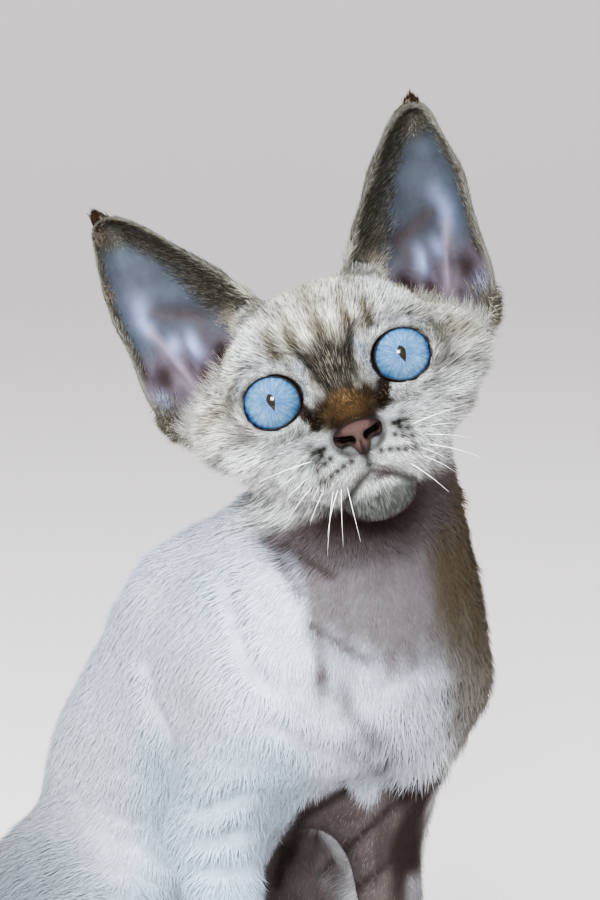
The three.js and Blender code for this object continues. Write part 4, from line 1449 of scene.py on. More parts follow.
# %% Roots
skin.data.calc_loop_triangles()
triangle_corners = values_of(skin.data.loop_triangles, "vertices", 3, np.int32)
triangle_loops = values_of(skin.data.loop_triangles, "loops", 3, np.int32)
triangle_areas = values_of(skin.data.loop_triangles, "area")
skin_uv = values_of(skin.data.uv_layers["OFBake"].data, "uv", 2)
print("skin:", round(float(triangle_areas.sum()) / MM ** 2), "square mm,", len(triangle_areas), "triangles")


def roots_by(density, count):
    """Roots spread evenly by area times the density given at each of the skin's points."""
    weight = np.cumsum(triangle_areas * density[triangle_corners].mean(1))
    drawn = (np.arange(count) + rng.random(count)) / count * weight[-1]
    chosen = np.minimum(np.searchsorted(weight, drawn), len(triangle_areas) - 1)
    first = np.sqrt(rng.random(count))
    second = rng.random(count)
    shares = np.column_stack([1 - first, first * (1 - second), first * second])[:, :, None]
    corners = triangle_corners[chosen]
    place = (skin_places[corners] * shares).sum(1)
    return {
        "place": place,
        "normal": unit((skin_normals[corners] * shares).sum(1)),
        "uv": (skin_uv[triangle_loops[chosen]] * shares).sum(1),
        "head": in_head(place),
        "body": place / MM,
        "near": corners[:, 0],
    }


# %% [markdown]
# On the head the hair lies away from the nose and bends round the eyes. On the trunk it lies back
# and down, on the legs down, on the feet towards the toes, and along the tail to its tip.

# %% The way the hair lies
TAIL_LINE = np.array([
    (-10.9, 76.1, 22), (-4.9, 92.1, 12), (15.1, 102.1, 6.6), (41.1, 92.1, 6.1), (59.1, 64.1, 5.7),
    (64.1, 30.1, 5.3), (61.1, -3.9, 4.8), (51.1, -31.9, 4.4), (39.1, -49.9, 4),
])


def lie_of(root):
    """Direction along the skin in which the hair lies at each root, as unit vectors."""
    head, body, normal = root["head"], root["body"], root["normal"]
    folded = mirrored(head)
    from_nose = unit(folded - (0, -27, -13)) + (0, 0.25, -0.12)
    ring = (folded - EYE_AT) * (1, 0, 1)
    away = unit(ring)
    round_eye = np.column_stack([-away[:, 2], np.zeros(len(away)), away[:, 0]])
    round_eye *= np.sign((round_eye * from_nose).sum(1))[:, None]
    near_eye = smoothstep(13.5, 8.5, np.hypot(ring[:, 0], ring[:, 2])) * (folded[:, 1] < -8)
    head_lie = from_nose + near_eye[:, None] * (round_eye * 1.6 + away * 0.9 - from_nose)
    head_lie[:, 0] *= np.where(head[:, 0] < 0, -1, 1)
    head_lie = unit(head_lie) @ FROM_HEAD[:3, :3].T
    x, y, z = body.T
    body_lie = np.tile([0.0, 0.5, -0.85], (len(x), 1))
    leg = smoothstep(80, 55, z) * smoothstep(-30, -42, y)
    body_lie += leg[:, None] * (np.array([0, 0.1, -1]) - body_lie)
    paw = smoothstep(22, 12, z) * (y < 62)
    body_lie += paw[:, None] * (np.array([0, -1, -0.25]) - body_lie)
    share = head_share(head)[:, None]
    lie = body_lie + (head_lie - body_lie) * share
    tail = tail_share(body)
    if tail.any():
        gaps = np.linalg.norm(body[tail][:, None] - TAIL_LINE[None], axis=2)
        nearest = np.clip(gaps.argmin(1), 0, len(TAIL_LINE) - 2)
        lie[tail] = TAIL_LINE[nearest + 1] - TAIL_LINE[nearest]
    lie -= normal * (lie * normal).sum(1)[:, None]
    return unit(lie)


def wave_of(body):
    """The coat's soft waves: a phase that runs down the body, in turns of a circle."""
    run = (-body[:, 2] * 0.9 + body[:, 1] * 0.4) / 6.5 + unevenness(body, 16.0, 9) * 0.9
    return np.sin(run * 2 * math.pi)


# %% [markdown]
# A lock is the smallest solid that looks like hair: a flat foot of three corners, sunk in the
# skin, drawn out to a point. Hundreds of thousands of them are made at once from arrays, each
# with its colours from root to tip and with the skin's address of its root.

# %% Growing locks
PATCH = 0.003
SOFT_TONE = 0.6
SINK = 0.35
FULLNESS = (0.75, 1.0)
OFF_FLOOR = 0.1


def lock_faces(rows):
    """Corners of a lock's faces: its foot, the sides between its rows, and its point."""
    pattern = [(0, 2, 1)]
    around = ((0, 1), (1, 2), (2, 0))
    for a in range(0, 3 * rows - 3, 3):
        for k, n in around:
            pattern += [(a + k, a + n, a + 3 + k), (a + n, a + 3 + n, a + 3 + k)]
    last = 3 * rows - 3
    return np.array(pattern + [(last + k, last + n, last + 3) for k, n in around])


def triangle_mesh(name, places, faces):
    """A smooth mesh of triangles, made from arrays."""
    mesh = bpy.data.meshes.new(name)
    mesh.vertices.add(len(places))
    mesh.vertices.foreach_set("co", places.astype(np.float32).ravel())
    mesh.loops.add(faces.size)
    mesh.loops.foreach_set("vertex_index", faces.astype(np.int32).ravel())
    mesh.polygons.add(len(faces))
    mesh.polygons.foreach_set("loop_start", np.arange(0, faces.size, 3, dtype=np.int32))
    mesh.polygons.foreach_set("use_smooth", np.ones(len(faces), bool))
    mesh.update(calc_edges=True)
    return mesh


def grow(name, root, lie, length, width, rise, lean, root_colour, tip_colour, rows=1, flat=0.45,
         round_look=None):
    """A piece of closed, tapering locks, one from each root; sizes are in millimetres.

    With round_look, which is for locks of one row, shading normals are turned to the skin's, so
    that the coat catches light as one soft surface; its number is how far they still lean aside.
    """
    normal = root["normal"]
    across = np.cross(normal, lie)
    if round_look is not None:
        root_colour, tip_colour = root_colour * SOFT_TONE, tip_colour * SOFT_TONE
    corner_sets, tints, flats = [], [], []
    for row in range(rows + 1):
        t = row / rows
        middle = root["place"] + lie * (length * t * MM)[:, None]
        middle = middle + across * (lean * length * t * t * MM)[:, None]
        lift = rise * math.sin(t * math.pi / 2) - SINK * (1 - t)
        middle = middle + normal * (lift * MM)[:, None]
        tint = root_colour + (tip_colour - root_colour) * t ** 0.8
        if row == rows:
            corner_sets.append(middle[:, None])
            tints.append(tint[:, None])
            flats.append((0.0, 0.5))
            continue
        half = (width * FULLNESS[row] / 2 * MM)[:, None]
        crest = middle + normal * half * 2 * flat
        corner_sets.append(np.stack([middle - across * half, middle + across * half, crest], 1))
        tints.append(np.repeat(tint[:, None], 3, 1))
        flats += [(-0.5, t - 0.5), (0.5, t - 0.5), (0.0, t - 0.4)]
    places = np.concatenate(corner_sets, 1)
    places[:, :, 2] = np.maximum(places[:, :, 2], OFF_FLOOR * MM)
    first_corner = np.arange(len(lie))[:, None, None] * places.shape[1]
    faces = (first_corner + lock_faces(rows)[None]).reshape(-1, 3)
    mesh = triangle_mesh(name, places.reshape(-1, 3), faces)
    spread = (root["uv"][:, None] + np.array(flats)[None] * PATCH).reshape(-1, 2)
    layer = mesh.uv_layers.new(name="OFBake")
    layer.data.foreach_set("uv", spread[faces.ravel()].astype(np.float32).ravel())
    store_colours(mesh, np.clip(np.concatenate(tints, 1).reshape(-1, 3), 0, 1))
    if round_look is not None:
        first, second = unit(normal - across * round_look), unit(normal + across * round_look)
        corners = [-lie] * 3 + [-normal] * 3 + [second, normal, normal] + [normal, first, normal]
        mesh.normals_split_custom_set(np.stack(corners, 1).reshape(-1, 3).astype(np.float32))
    piece = add_piece(name, mesh)
    mesh.materials.append(coat_finish)
    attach(piece, "root")
    tell(name, len(lie), "locks,", len(faces), "triangles")


LOCK_TRIANGLES = 4
PIECE_LIMIT = 190000


def grow_in_parts(label, root, chosen=slice(None), flat=0.3, round_look=None, **sizes):
    """Grows the chosen roots as one or more pieces, each under the limit of triangles."""
    chosen = np.arange(len(root["near"]))[chosen]
    parts = 1 + len(chosen) * LOCK_TRIANGLES // PIECE_LIMIT
    for number, picked in enumerate(np.array_split(chosen, parts)):
        roots_here = {name: values[picked] for name, values in root.items()}
        own = {name: values[picked] for name, values in sizes.items()}
        grow(f"{label}_{number + 1}", roots_here, flat=flat, round_look=round_look, **own)


# %% [markdown]
# No hair grows on the eyes, the nose leather or the line of the lips. The face has the densest
# coat, and round the eyes it is densest of all, since there it is also shortest.

# %% Roots on the head
HEAD_LOCKS = 135000
ON_EAR = 3.0
DENSE = {"face": 1.0, "head": 0.4, "round the eyes": 2.4}
CHIN = ((0, -34, -31.5), (8, 14, 5.0))
PAD = ((8.5, -34, -19), (5.5, 12, 5.5))

sx, sy, sz = folded_skin.T
eye_ring = lid_reach(folded_skin)
skin_mouth_gap, skin_mouth_along = line_distance(sx, sz, MOUTH)
bare_eye = (eye_ring < 1.02) & (sy < -8)
bare_nose = (np.hypot(sx / 6.2, (sz + 15.2) / 4.4) < 0.95) & (sy < -30)
bare_lip = (skin_mouth_gap < 0.55) & (skin_mouth_along < 0.97) & (sy < -20)
head_part = (head_share(skin_heads) > 0.5) & (ear_gap > ON_EAR)
face_part = head_part & (sy < -6)
density = np.where(face_part, DENSE["face"], DENSE["head"]) * head_part * ~bare_eye * ~bare_nose * ~bare_lip
density = density * np.where(face_part & (eye_ring < 1.55), DENSE["round the eyes"], 1.0)
head_root = roots_by(density, HEAD_LOCKS)
head_lie = lie_of(head_root)
tell("roots on the head:", HEAD_LOCKS)

# %% [markdown]
# The head's hair is very short and lies away from the nose. Close to the eyes, the nose and the
# lips the locks are shortest, so that none crosses the eye, and on the cheeks they are longest.

# %% Shape of the head's locks
HEAD_LENGTH, SHORTER_IN_FRONT = 3.9, 0.7
HEAD_WIDTH = 0.38
LENGTHS, WIDTHS = (0.7, 1.3), (0.7, 1.35)

x, y, z = mirrored(head_root["head"]).T
folded = mirrored(head_root["head"])
front = smoothstep(2, -12, y)
near_eye = smoothstep(1.7, 1.12, lid_reach(folded)) * (y < -8)
near_nose = smoothstep(11, 4, np.linalg.norm((folded - (0, -38, -15)) * (1, 0.6, 1), axis=1))
mouth_gap, _ = line_distance(x, z, MOUTH)
near_lip = smoothstep(2.4, 0.4, mouth_gap) * (y < -20)
on_pad = spot(folded, *PAD)
on_chin = spot(folded, *CHIN)
on_bridge = smoothstep(-2, -5, z) * smoothstep(11, 8, x) * smoothstep(-20, -25, y)
short = (1 - 0.55 * near_eye) * (1 - 0.5 * near_nose) * (1 - 0.55 * near_lip) * (1 - 0.3 * on_pad)
short = short * (1 - 0.45 * on_bridge) * (1 - 0.35 * on_pad)
cheek = smoothstep(18, 27, x) * smoothstep(6, -6, z)
length = (HEAD_LENGTH - SHORTER_IN_FRONT * front) * short * rng.uniform(*LENGTHS, HEAD_LOCKS)
length = length * (1 + 0.8 * cheek) * (1 + 0.5 * on_chin)
width = HEAD_WIDTH * rng.uniform(*WIDTHS, HEAD_LOCKS) * (1 + 0.25 * (1 - front)) * (1 - 0.25 * near_eye)
rise = length * rng.uniform(0.14, 0.4, HEAD_LOCKS) * (1 - 0.4 * near_eye)
lean = rng.normal(0, 0.1, HEAD_LOCKS)
print("head's locks, mm long:", np.percentile(length, (5, 50, 95)).round(1))

# %% [markdown]
# Each hair is dark at the root and pale at the tip, so the locks carry a ramp from one to the
# other. Where the markings are dark a share of the locks is darker still and a few are pale, as
# in ticked fur. On the nose's bridge the hair is so short that it shows one even colour.

# %% Colours of the head's locks
base = markings(head_root["place"] + head_lie * (length * 0.75 * MM)[:, None])
root_base = markings(head_root["place"] + head_lie * (length * 0.2 * MM)[:, None])
clump = 0.45 * unevenness(head_root["head"], 0.55, 21) + 0.3 * unevenness(head_root["head"], 1.3, 22)
on_throat = throat_share(head_root["head"])
grain = 1 + (rng.uniform(-0.5, 0.5, HEAD_LOCKS) + clump * (1 + 1.4 * on_chin)) * (1 - 0.8 * on_throat)
grain = np.clip(grain, 0.15, 2.0)[:, None]
dark_share = np.clip(1.1 - base.mean(1) * 1.8, 0.0, 0.9)
pepper = (rng.random(HEAD_LOCKS) < (0.17 + dark_share * 0.16) * (on_throat < 0.4))[:, None]
pale = (rng.random(HEAD_LOCKS) < dark_share * 0.16 * (on_throat < 0.4))[:, None]
tips = base * grain * 1.15 * np.where(pepper, 0.32, 1.0) + pale * CREAM_COAT * 0.35
plain = (on_bridge * 0.45)[:, None]
tips = tips + (base - tips) * plain
roots = root_base * (grain * 0.4 + (0.75 - grain * 0.4) * plain)
for label, chosen in (("coat_face", y <= -8), ("coat_head", y > -8)):
    grow_in_parts(label, head_root, chosen, round_look=0.8, lie=head_lie, length=length, width=width,
                  rise=rise, lean=lean, root_colour=roots, tip_colour=tips)

# %% [markdown]
# On the trunk and legs the coat is softer and waved: the locks swing to one side and the other
# in bands across the way they lie, and rise a little on each band's crest. On the chest and
# between the forelegs it thins until the skin shows.

# %% Shape of the body's locks
BODY_LOCKS = 155000
BODY_LENGTH, SHORTER_ON_CHEST, SHORTER_WHERE_BARE = 5.4, 1.6, 2.4
BODY_WIDTH = 0.62
SOLE = 0.5
BREAST_TUFT = ((418, 738), (30, 42))

body_part = ~head_part & (ear_gap > ON_EAR)
off_floor = np.where(skin_body[:, 2] < 1.5, 0.0, 1.0) * np.where(skin_body[:, 2] < 26, 1.4, 1.0)
body_root = roots_by(body_part * (1 - 0.6 * bare_share) * off_floor, BODY_LOCKS)
body_lie = lie_of(body_root)
wave = wave_of(body_root["body"])
x, y, z = body_root["body"].T
tail = tail_share(body_root["body"])
paw = smoothstep(24, 12, z) * (y < 62) * ~tail
chest = np.clip(spot(body_root["body"], (-16, -86, 152), (24, 22, 26)) * 1.6, 0, 1)
seen = picture_place(body_root["body"])
bare = belly_share(body_root["body"], *seen, np.zeros(BODY_LOCKS))
tuft = oval(*seen, *BREAST_TUFT) * smoothstep(-50, -64, y)
swing = 0.3 * wave + rng.normal(0, 0.12, BODY_LOCKS)
body_lie = unit(body_lie + np.cross(body_root["normal"], body_lie) * swing[:, None])
length = (BODY_LENGTH - SHORTER_ON_CHEST * chest - SHORTER_WHERE_BARE * bare) * (1 - 0.45 * paw)
length = length * rng.uniform(*LENGTHS, BODY_LOCKS)
length = np.where(tail, length * 0.85, length) * (1 + 0.9 * tuft)
width = BODY_WIDTH * rng.uniform(*WIDTHS, BODY_LOCKS)
width = width * (1 - 0.3 * chest) * (1 - 0.3 * paw) * (1 - 0.3 * bare)
rise = (1.0 + 0.2 * wave) * (length / BODY_LENGTH) * rng.uniform(0.6, 1.4, BODY_LOCKS)
rise = rise * (1 - 0.3 * bare) * (1 + 1.6 * tuft)
low = np.minimum(rise, np.maximum((z - SOLE) * 0.9, 0.15))
rise = np.where(body_root["normal"][:, 2] < -0.2, low, rise)
length = np.minimum(length, np.maximum(z - SOLE, 0.3) / np.maximum(-body_lie[:, 2], 0.05))
lean = rng.normal(0, 0.12, BODY_LOCKS)
print("body's locks, mm long:", np.percentile(length, (5, 50, 95)).round(1))

# %% [markdown]
# The body's hair has nearly one colour from root to tip, a little paler on each wave's crest. The
# coat is parted into regions that a person would name, so that each piece stays small.

# %% Colours of the body's locks, in regions
SHOULDER_Y = -35

base = markings(body_root["place"] + body_lie * (length * 0.6 * MM)[:, None])
clump = 0.22 * unevenness(body_root["body"], 1.1, 31) * tuft
grain = (rng.uniform(0.95, 1.05, BODY_LOCKS) + clump)[:, None]
tips = base * grain * 1.04
roots = base * grain * (0.94 + 0.04 * wave)[:, None]
behind = ~tail & (y > SHOULDER_Y)
ahead = ~tail & (y <= SHOULDER_Y)
groups = {
    "tail": tail,
    "left": behind & (x > 12),
    "right": behind & (x < -34),
    "back": behind & (x >= -34) & (x <= 12),
    "front_left": ahead & (x > -11),
    "front_right": ahead & (x <= -11),
}
for label, chosen in groups.items():
    grow_in_parts(f"coat_{label}", body_root, chosen, flat=0.14, round_look=0.12, lie=body_lie, length=length,
                  width=width, rise=rise, lean=lean, root_colour=roots, tip_colour=tips)

# %% [markdown]
# ## Ear hair
# The ears are nearly bare inside. A dark ticked band runs up the inner edge, the outer pocket and
# the back have short hair, a pale fringe follows the rim, and long pale hair crosses the opening
# from the root of the inner edge. Cream fluff hides where the ear meets the cheek and the crown,
# and a brown tuft stands behind each tip.

# %% Hair in the ears
EAR_STEP = 0.02


def ear_lie(root, sideways):
    """Along the ear from root to tip, with a share across it, on the skin, in the part's frame."""
    near = root["near"]
    u, t = ear_u[near], np.minimum(ear_t[near], 0.96)
    along = unit(ear_sheet(u, t + EAR_STEP) - ear_sheet(u, t))
    across = unit(ear_sheet(np.clip(u + EAR_STEP, -1, 1), t) - ear_sheet(np.clip(u - EAR_STEP, -1, 1), t))
    lie = along + across * np.asarray(sideways)[:, None]
    lie[:, 0] *= np.where(root["head"][:, 0] < 0, -1, 1)
    lie = unit(lie) @ FROM_HEAD[:3, :3].T
    lie -= root["normal"] * (lie * root["normal"]).sum(1)[:, None]
    return unit(lie)


EAR_LOCKS = 28000
on_wall = ear_gap < 2.6
band, tip_hair, pocket = ear_marks(sx, sz)
covered = (sz < ear_cover_top(sx)) & (sx > 19) & (sx < 38)
band_root = roots_by(np.clip(band + tip_hair + pocket, 0, 1) * on_wall * ear_front * ~covered, EAR_LOCKS)
near = band_root["near"]
lie = ear_lie(band_root, 0.35 * np.sign(-ear_u[near]))
length = rng.uniform(1.6, 3.4, EAR_LOCKS) * (1 - 0.45 * smoothstep(0.3, 0.95, ear_t[near]))
draw = rng.random(EAR_LOCKS)[:, None]
tone = np.where(draw < 0.45, EAR_DARK * 0.45, np.where(draw < 0.78, EAR_DARK, EAR_EDGE))
foot_at = mirrored(band_root["head"])
foot = smoothstep(29, 21, foot_at[:, 2]) * smoothstep(30, 22, foot_at[:, 0])
tone = painted(tone, [(CREAM_COAT * 0.62, foot * 0.85)]) * rng.uniform(0.75, 1.2, EAR_LOCKS)[:, None]
grow_in_parts("ear_band", band_root, lie=lie, length=length,
              width=rng.uniform(0.2, 0.34, EAR_LOCKS), rise=length * rng.uniform(0.06, 0.2, EAR_LOCKS),
              lean=rng.normal(0, 0.15, EAR_LOCKS), root_colour=tone * 0.6, tip_colour=tone * 1.1)

# %% [markdown]
# Behind, the ear is covered with short, close hair like the head's, cream at the ear's root.

# %% Hair on the ears' backs
BACK_LOCKS = 16000
back_root = roots_by(1.0 * on_wall * ~ear_front, BACK_LOCKS)
length = rng.uniform(1.6, 2.8, BACK_LOCKS)
low_part = smoothstep(0.35, 0.1, ear_t[back_root["near"]])
tone = painted(np.tile(EAR_BACK_COAT, (BACK_LOCKS, 1)), [(CREAM_COAT, low_part * 0.7)])
tone = tone * rng.uniform(0.7, 1.2, BACK_LOCKS)[:, None]
grow_in_parts("ear_back", back_root, lie=ear_lie(back_root, np.zeros(BACK_LOCKS)),
              length=length, width=rng.uniform(0.35, 0.55, BACK_LOCKS), rise=length * 0.16,
              lean=rng.normal(0, 0.12, BACK_LOCKS), root_colour=tone * 0.6, tip_colour=tone * 1.1)

# %% [markdown]
# Fluff grows in small clumps at the foot of the ear. A clump's hairs are scattered round a short
# line, and each takes its root on the skin nearest to it.

# %% Fluff at the ears' feet


def roots_near(points_head, side):
    """Roots on the skin nearest to places given in the head's frame for the left side."""
    placed = points_head * (side, 1, 1)
    chosen = np.array([skin_tree.find(place)[1] for place in from_head(placed)])
    return {
        "place": skin_places[chosen],
        "normal": skin_normals[chosen],
        "uv": vertex_uv[chosen],
        "head": skin_heads[chosen],
        "body": skin_body[chosen],
        "near": chosen,
    }


skin_tree = search_tree(skin_places)
vertex_uv = np.zeros((len(skin_places), 2))
vertex_uv[triangle_corners.ravel()] = skin_uv[triangle_loops.ravel()]


def head_aim(vectors, side):
    """Directions given in the head's frame for the left side, turned to the part's frame."""
    return unit(vectors * (side, 1, 1)) @ FROM_HEAD[:3, :3].T


def tangent(vectors, normal, stand):
    """A direction laid on the skin, then raised by a share of the normal."""
    flat = unit(vectors - normal * (vectors * normal).sum(1)[:, None])
    return unit(flat + normal * np.asarray(stand)[:, None])


def jitter(count, spread):
    return rng.normal(0, 1, (count, 3)) * np.array(spread)


# each fluff: places in the head's frame, spread, the way it points, count, length, stand
FLUFF = {
    "cheek": (
        [(31, 1, -9), (36, 3, -6), (41, 4, -1)], (3.4, 2.6, 3.2), (0.85, 0.1, -0.5), 3000, (2.5, 5), 0.1),
    "lobe": (
        [(42, 5, -2), (45, 6.5, 2), (46.5, 7.5, 6)], (1.2, 1.6, 1.8), (0.75, 0, -0.6), 1500, (2, 3.6), 0.12),
    "crown": (
        [(9, -1, 20), (12, -1, 24), (15, 1, 27)], (2.6, 2.6, 2.6), (0.6, 0.1, 0.8), 1500, (2.5, 4.5), 0.06),
    "opening": (
        [(26.5, 5, 12), (28.5, 6, 11.5), (30, 6, 10)], (1.0, 1.5, 0.8), (0.3, -0.2, 0.9), 260, (2, 4), 0.1),
}
LOBE_DARK = 0.85
for label, (centres, spread, way, count, sizes, stand) in FLUFF.items():
    for side, word in SIDES:
        placed = smooth_line(centres, rng.random(count)) + jitter(count, spread)
        root = roots_near(placed, side)
        aim = head_aim(np.array(way) + jitter(count, (0.22, 0.2, 0.22)), side)
        length = rng.uniform(*sizes, count)
        dark = np.full(count, LOBE_DARK if label == "lobe" else 0.0)
        tone = painted(head_colours(root["head"]), [(EAR_DARK, dark)])
        tone = tone * rng.uniform(0.4, 0.95, count)[:, None]
        grow(f"fluff_{label}_{word}", root, tangent(aim, root["normal"], np.full(count, stand)), length,
             rng.uniform(0.18, 0.32, count), rng.uniform(0.1, 0.6, count), rng.normal(0, 0.18, count),
             tone * 0.5, tone)

# %% [markdown]
# On the kitten no edge shows where the ear leaves the head: long fine hairs cross the join, up
# the ear from the crown and outwards from the cheek.

# %% Hair over the join of head and ear
EDGE_LOCKS = 15000
skin_facing = (skin_normals @ FROM_HEAD[:3, :3])[:, 1]
join = (ear_gap > 1.6) & (ear_gap < 6.5) & (sx > 9) & (sy < 7) & (sz > -14) & ~(on_wall & (ear_t > 0.12))
foot = (sx > 19) & (sz < ear_cover_top(sx)) & (sz > -13) & (skin_facing < 0.3) & (ear_gap < 7)
edge_root = roots_by(join * 1.0 + foot * 1.6, EDGE_LOCKS)
at = mirrored(edge_root["head"])
height = at[:, 2] - ear_cover_top(at[:, 0])
side_of = np.where(edge_root["head"][:, 0] < 0, -1, 1)
rising = smoothstep(-12, -3, height)
outward = np.column_stack([side_of * (1 - 0.4 * rising), -0.1 + 0 * at[:, 0], 1.0 * rising - 0.35])
aim = unit(outward + jitter(EDGE_LOCKS, (0.2, 0.15, 0.2))) @ FROM_HEAD[:3, :3].T
base = head_colours(edge_root["head"]) * rng.uniform(0.3, 0.85, EDGE_LOCKS)[:, None]
length = rng.uniform(2.6, 6.5, EDGE_LOCKS)
grow_in_parts("join_locks", edge_root,
              lie=tangent(aim, edge_root["normal"], rng.uniform(0.05, 0.4, EDGE_LOCKS)), length=length,
              width=rng.uniform(0.13, 0.26, EDGE_LOCKS), rise=rng.uniform(0.2, 0.7, EDGE_LOCKS),
              lean=rng.normal(0, 0.15, EDGE_LOCKS), root_colour=base * 0.45, tip_colour=base)

# %% [markdown]
# A pale fringe runs along both edges of each ear, and a small tuft stands behind its tip.

# %% Rim fringe and ear tips
RIM_HAIRS = 1600
TIP_HAIRS = 420
TIP_AT = np.array([42.8, 12.8, 59.0])
for side, word in SIDES:
    along = rng.random(RIM_HAIRS) ** 0.9 * 0.93 + 0.05
    edge = np.where(rng.random(RIM_HAIRS) < 0.5, -0.97, 0.97)
    root = roots_near(ear_sheet(edge, along), side)
    outward = ear_sheet(edge, along) - ear_sheet(edge * 0.8, along)
    upward = ear_sheet(edge, np.minimum(along + EAR_STEP, 0.98)) - ear_sheet(edge, along)
    way = unit(outward) * 0.35 + unit(upward) + jitter(RIM_HAIRS, (0.2, 0.2, 0.2))
    length = rng.uniform(0.8, 1.9, RIM_HAIRS)
    tone = painted(np.tile(EAR_EDGE, (RIM_HAIRS, 1)), [(EAR_DARK, rng.random(RIM_HAIRS) ** 1.5 * 0.8)])
    grow(f"rim_fringe_{word}", root, head_aim(way, side), length, rng.uniform(0.13, 0.22, RIM_HAIRS),
         np.zeros(RIM_HAIRS), rng.normal(0, 0.25, RIM_HAIRS), tone * 0.55, tone * 0.75)
    spread = rng.uniform(-1, 1, TIP_HAIRS)
    tips_at = TIP_AT + spread[:, None] * (2.0, 0, -0.3) + jitter(TIP_HAIRS, (0.3, 0.5, 0.6))
    root = roots_near(tips_at, side)
    way = np.array([0.3, 0.15, 1.0]) + jitter(TIP_HAIRS, (0.1, 0.07, 0.07))
    way[:, 0] -= 0.45 * spread
    length = rng.uniform(3.0, 5.5, TIP_HAIRS) * (1 - 0.45 * np.abs(spread))
    tone = TUFT_BROWN * rng.uniform(0.5, 1.2, TIP_HAIRS)[:, None]
    grow(f"tip_tuft_{word}", root, head_aim(way, side), length, rng.uniform(0.4, 0.7, TIP_HAIRS),
         np.zeros(TIP_HAIRS), rng.normal(0, 0.08, TIP_HAIRS), tone * 0.8, tone, rows=2)

# %% [markdown]
# ## Whiskers
# Each whisker is one hair a few tenths of a millimetre thick that droops and tapers to nothing.
# It is a tube of six sides swept along a bent line, white, and stiffer at its root.

# %% Whiskers
WHISKER_THICK = 0.1
WHISKER_RINGS = 14
WHISKER_SIDES = 6
# where it leaves the lip and its way, in the head's frame, then its length and droop
WHISKERS = [
    ((10.2, -34.5, -17.5), (0.95, -0.1, 0.1), 17, 0.10), ((11.0, -33.5, -19.5), (0.95, 0.0, -0.2), 15, 0.18),
    ((11.2, -33, -21.5), (0.95, 0.0, -0.32), 17, 0.25), ((10.5, -33.5, -23.5), (0.85, -0.1, -0.5), 13, 0.3),
    ((8.5, -35, -25.0), (0.7, -0.25, -0.7), 12, 0.3), ((12.5, -32, -18.5), (1.0, 0.1, -0.05), 13, 0.15),
    ((9.6, -34.5, -21.0), (0.9, -0.2, -0.4), 10, 0.3), ((15.2, -15.5, 10.5), (0.2, -0.75, 0.65), 7, -0.2),
    ((13.8, -16, 10.8), (0.05, -0.8, 0.6), 6, -0.2),
]
LOW_RIGHT_WHISKERS = [
    ((9.0, -34, -23.0), (0.5, -0.35, -0.85), 17, 0.15), ((8.0, -35, -24.5), (0.35, -0.4, -0.9), 18, 0.12),
    ((7.0, -35.5, -25.5), (0.12, -0.4, -0.95), 14, 0.1),
]


def whisker_rings(start, way, length, droop, side):
    """Corners of a tapering tube that leaves the lip and bends under its weight."""
    t = np.linspace(0, 1, WHISKER_RINGS)[:, None]
    way = unit(np.array(way, float))
    down = np.array([0, 0.35, -1.0])
    line = np.array(start) + way * (length * t - 1.2) + down * (droop * length * t ** 2.2)
    line = line * (side, 1, 1)
    run = unit(np.gradient(line, axis=0))
    one = unit(np.cross(run, (0.1, 1.0, 0.2)))
    two = np.cross(run, one)
    turns = np.linspace(0, 2 * math.pi, WHISKER_SIDES + 1)[:-1]
    thick = WHISKER_THICK * (1 - t ** 1.6 * 0.92)
    ring = one[:, None] * np.cos(turns)[None, :, None] + two[:, None] * np.sin(turns)[None, :, None]
    return from_head((line[:, None] + ring * thick[:, None]).reshape(-1, 3))


def tube_faces(first):
    """Faces of one closed tube whose corners start at this number."""
    sides = WHISKER_SIDES
    end = first + (WHISKER_RINGS - 1) * sides
    faces = [tuple(first + k for k in reversed(range(sides)))]
    for a in range(first, end, sides):
        for k in range(sides):
            n = (k + 1) % sides
            faces.append((a + k, a + n, a + sides + n, a + sides + k))
    return faces + [tuple(end + k for k in range(sides))]


whisker_corners, whisker_faces = [], []
plan = [(row, side) for row in WHISKERS for side in (1, -1)] + [(row, -1) for row in LOW_RIGHT_WHISKERS]
for (start, way, length, droop), side in plan:
    varied = length * rng.uniform(0.85, 1.15)
    whisker_faces += tube_faces(len(whisker_corners) * WHISKER_RINGS * WHISKER_SIDES)
    whisker_corners.append(whisker_rings(start, way, varied, droop, side))
mesh = bpy.data.meshes.new("whiskers")
mesh.from_pydata(np.concatenate(whisker_corners).tolist(), [], whisker_faces)
whiskers = add_piece("whiskers", mesh)
face_outwards(whiskers)
bpy.ops.object.shade_smooth()
whisker_finish, _, _ = new_finish("whisker_white", colour=(0.9, 0.9, 0.88, 1), roughness=0.35)
mesh.materials.append(whisker_finish)
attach(whiskers, "root")
tell("whiskers:", len(plan))

# %% [markdown]
# ## Room and light
# A pale floor that curves up behind, one big window on the kitten's right and a weaker fill. The
# small square light above the camera is the one that shows in the eyes.

# %% Floor, lights and world
CHEST_AT = Vector((0, -0.04, 0.17))


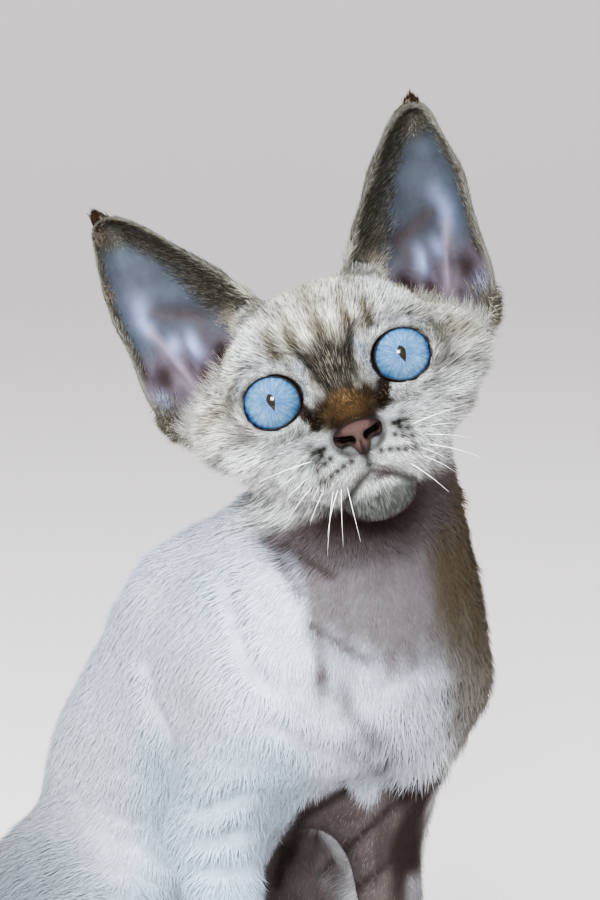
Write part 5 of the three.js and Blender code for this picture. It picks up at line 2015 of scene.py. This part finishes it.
def soft_light(name, place, size, power, colour, mirrored_in_eyes):
    """A square soft box that looks at the kitten's chest."""
    data = bpy.data.lights.new(name, "AREA")
    data.size = size
    data.energy = power
    data.color = colour
    lamp = add_piece(name, data)
    lamp.visible_glossy = mirrored_in_eyes
    turned = (CHEST_AT - Vector(place)).to_track_quat("-Z", "Y").to_matrix().to_4x4()
    lamp.matrix_world = Matrix.Translation(place) @ turned


# the floor's section: metres out from the kitten and metres up
ROOM = [(2.6, 0), (3.2, 0.06), (3.8, 0.28), (4.3, 0.68), (4.6, 1.2), (4.75, 1.9), (4.8, 2.8)]
floor = add_primitive(bpy.ops.mesh.primitive_circle_add, "floor", vertices=96, radius=ROOM[0][0],
                      fill_type="TRIFAN")
bpy.ops.object.mode_set(mode="EDIT")
bpy.ops.mesh.select_mode(type="EDGE")
bpy.ops.mesh.select_all(action="DESELECT")
bpy.ops.mesh.select_non_manifold()
for inner, outer in zip(ROOM, ROOM[1:]):
    bpy.ops.mesh.extrude_edges_move(TRANSFORM_OT_translate={"value": (0, 0, outer[1] - inner[1])})
    share = outer[0] / inner[0]
    bpy.ops.transform.resize(value=(share, share, 1), center_override=(0, 0, 0))
bpy.ops.object.mode_set(mode="OBJECT")
bpy.ops.object.shade_smooth()
floor_finish, _, _ = new_finish("pale_floor", colour=(0.72, 0.68, 0.66, 1), roughness=0.9)
floor.data.materials.append(floor_finish)
world = bpy.data.worlds.new("world")
world.use_nodes = True
background = world.node_tree.nodes["Background"]
background.inputs[0].default_value = (0.9, 0.92, 1.0, 1)
background.inputs[1].default_value = 0.75
bpy.context.scene.world = world
bpy.context.scene.view_settings.look = "AgX - High Contrast"
soft_light("window", (-0.95, -1.25, 0.72), 0.3, 20, (0.98, 0.99, 1.0), True)
soft_light("sky", (-1.3, -1.0, 1.5), 1.6, 110, (0.97, 0.99, 1.0), False)
soft_light("fill", (0.5, -1.7, 0.5), 1.4, 20, (1.0, 0.97, 0.95), False)
tell("room")

# %% [markdown]
# The box of the finished model is written down beside that of the solids, and the toolkit then
# closes the scene.

# %% Sizes, and the end
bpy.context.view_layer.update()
tell("built")
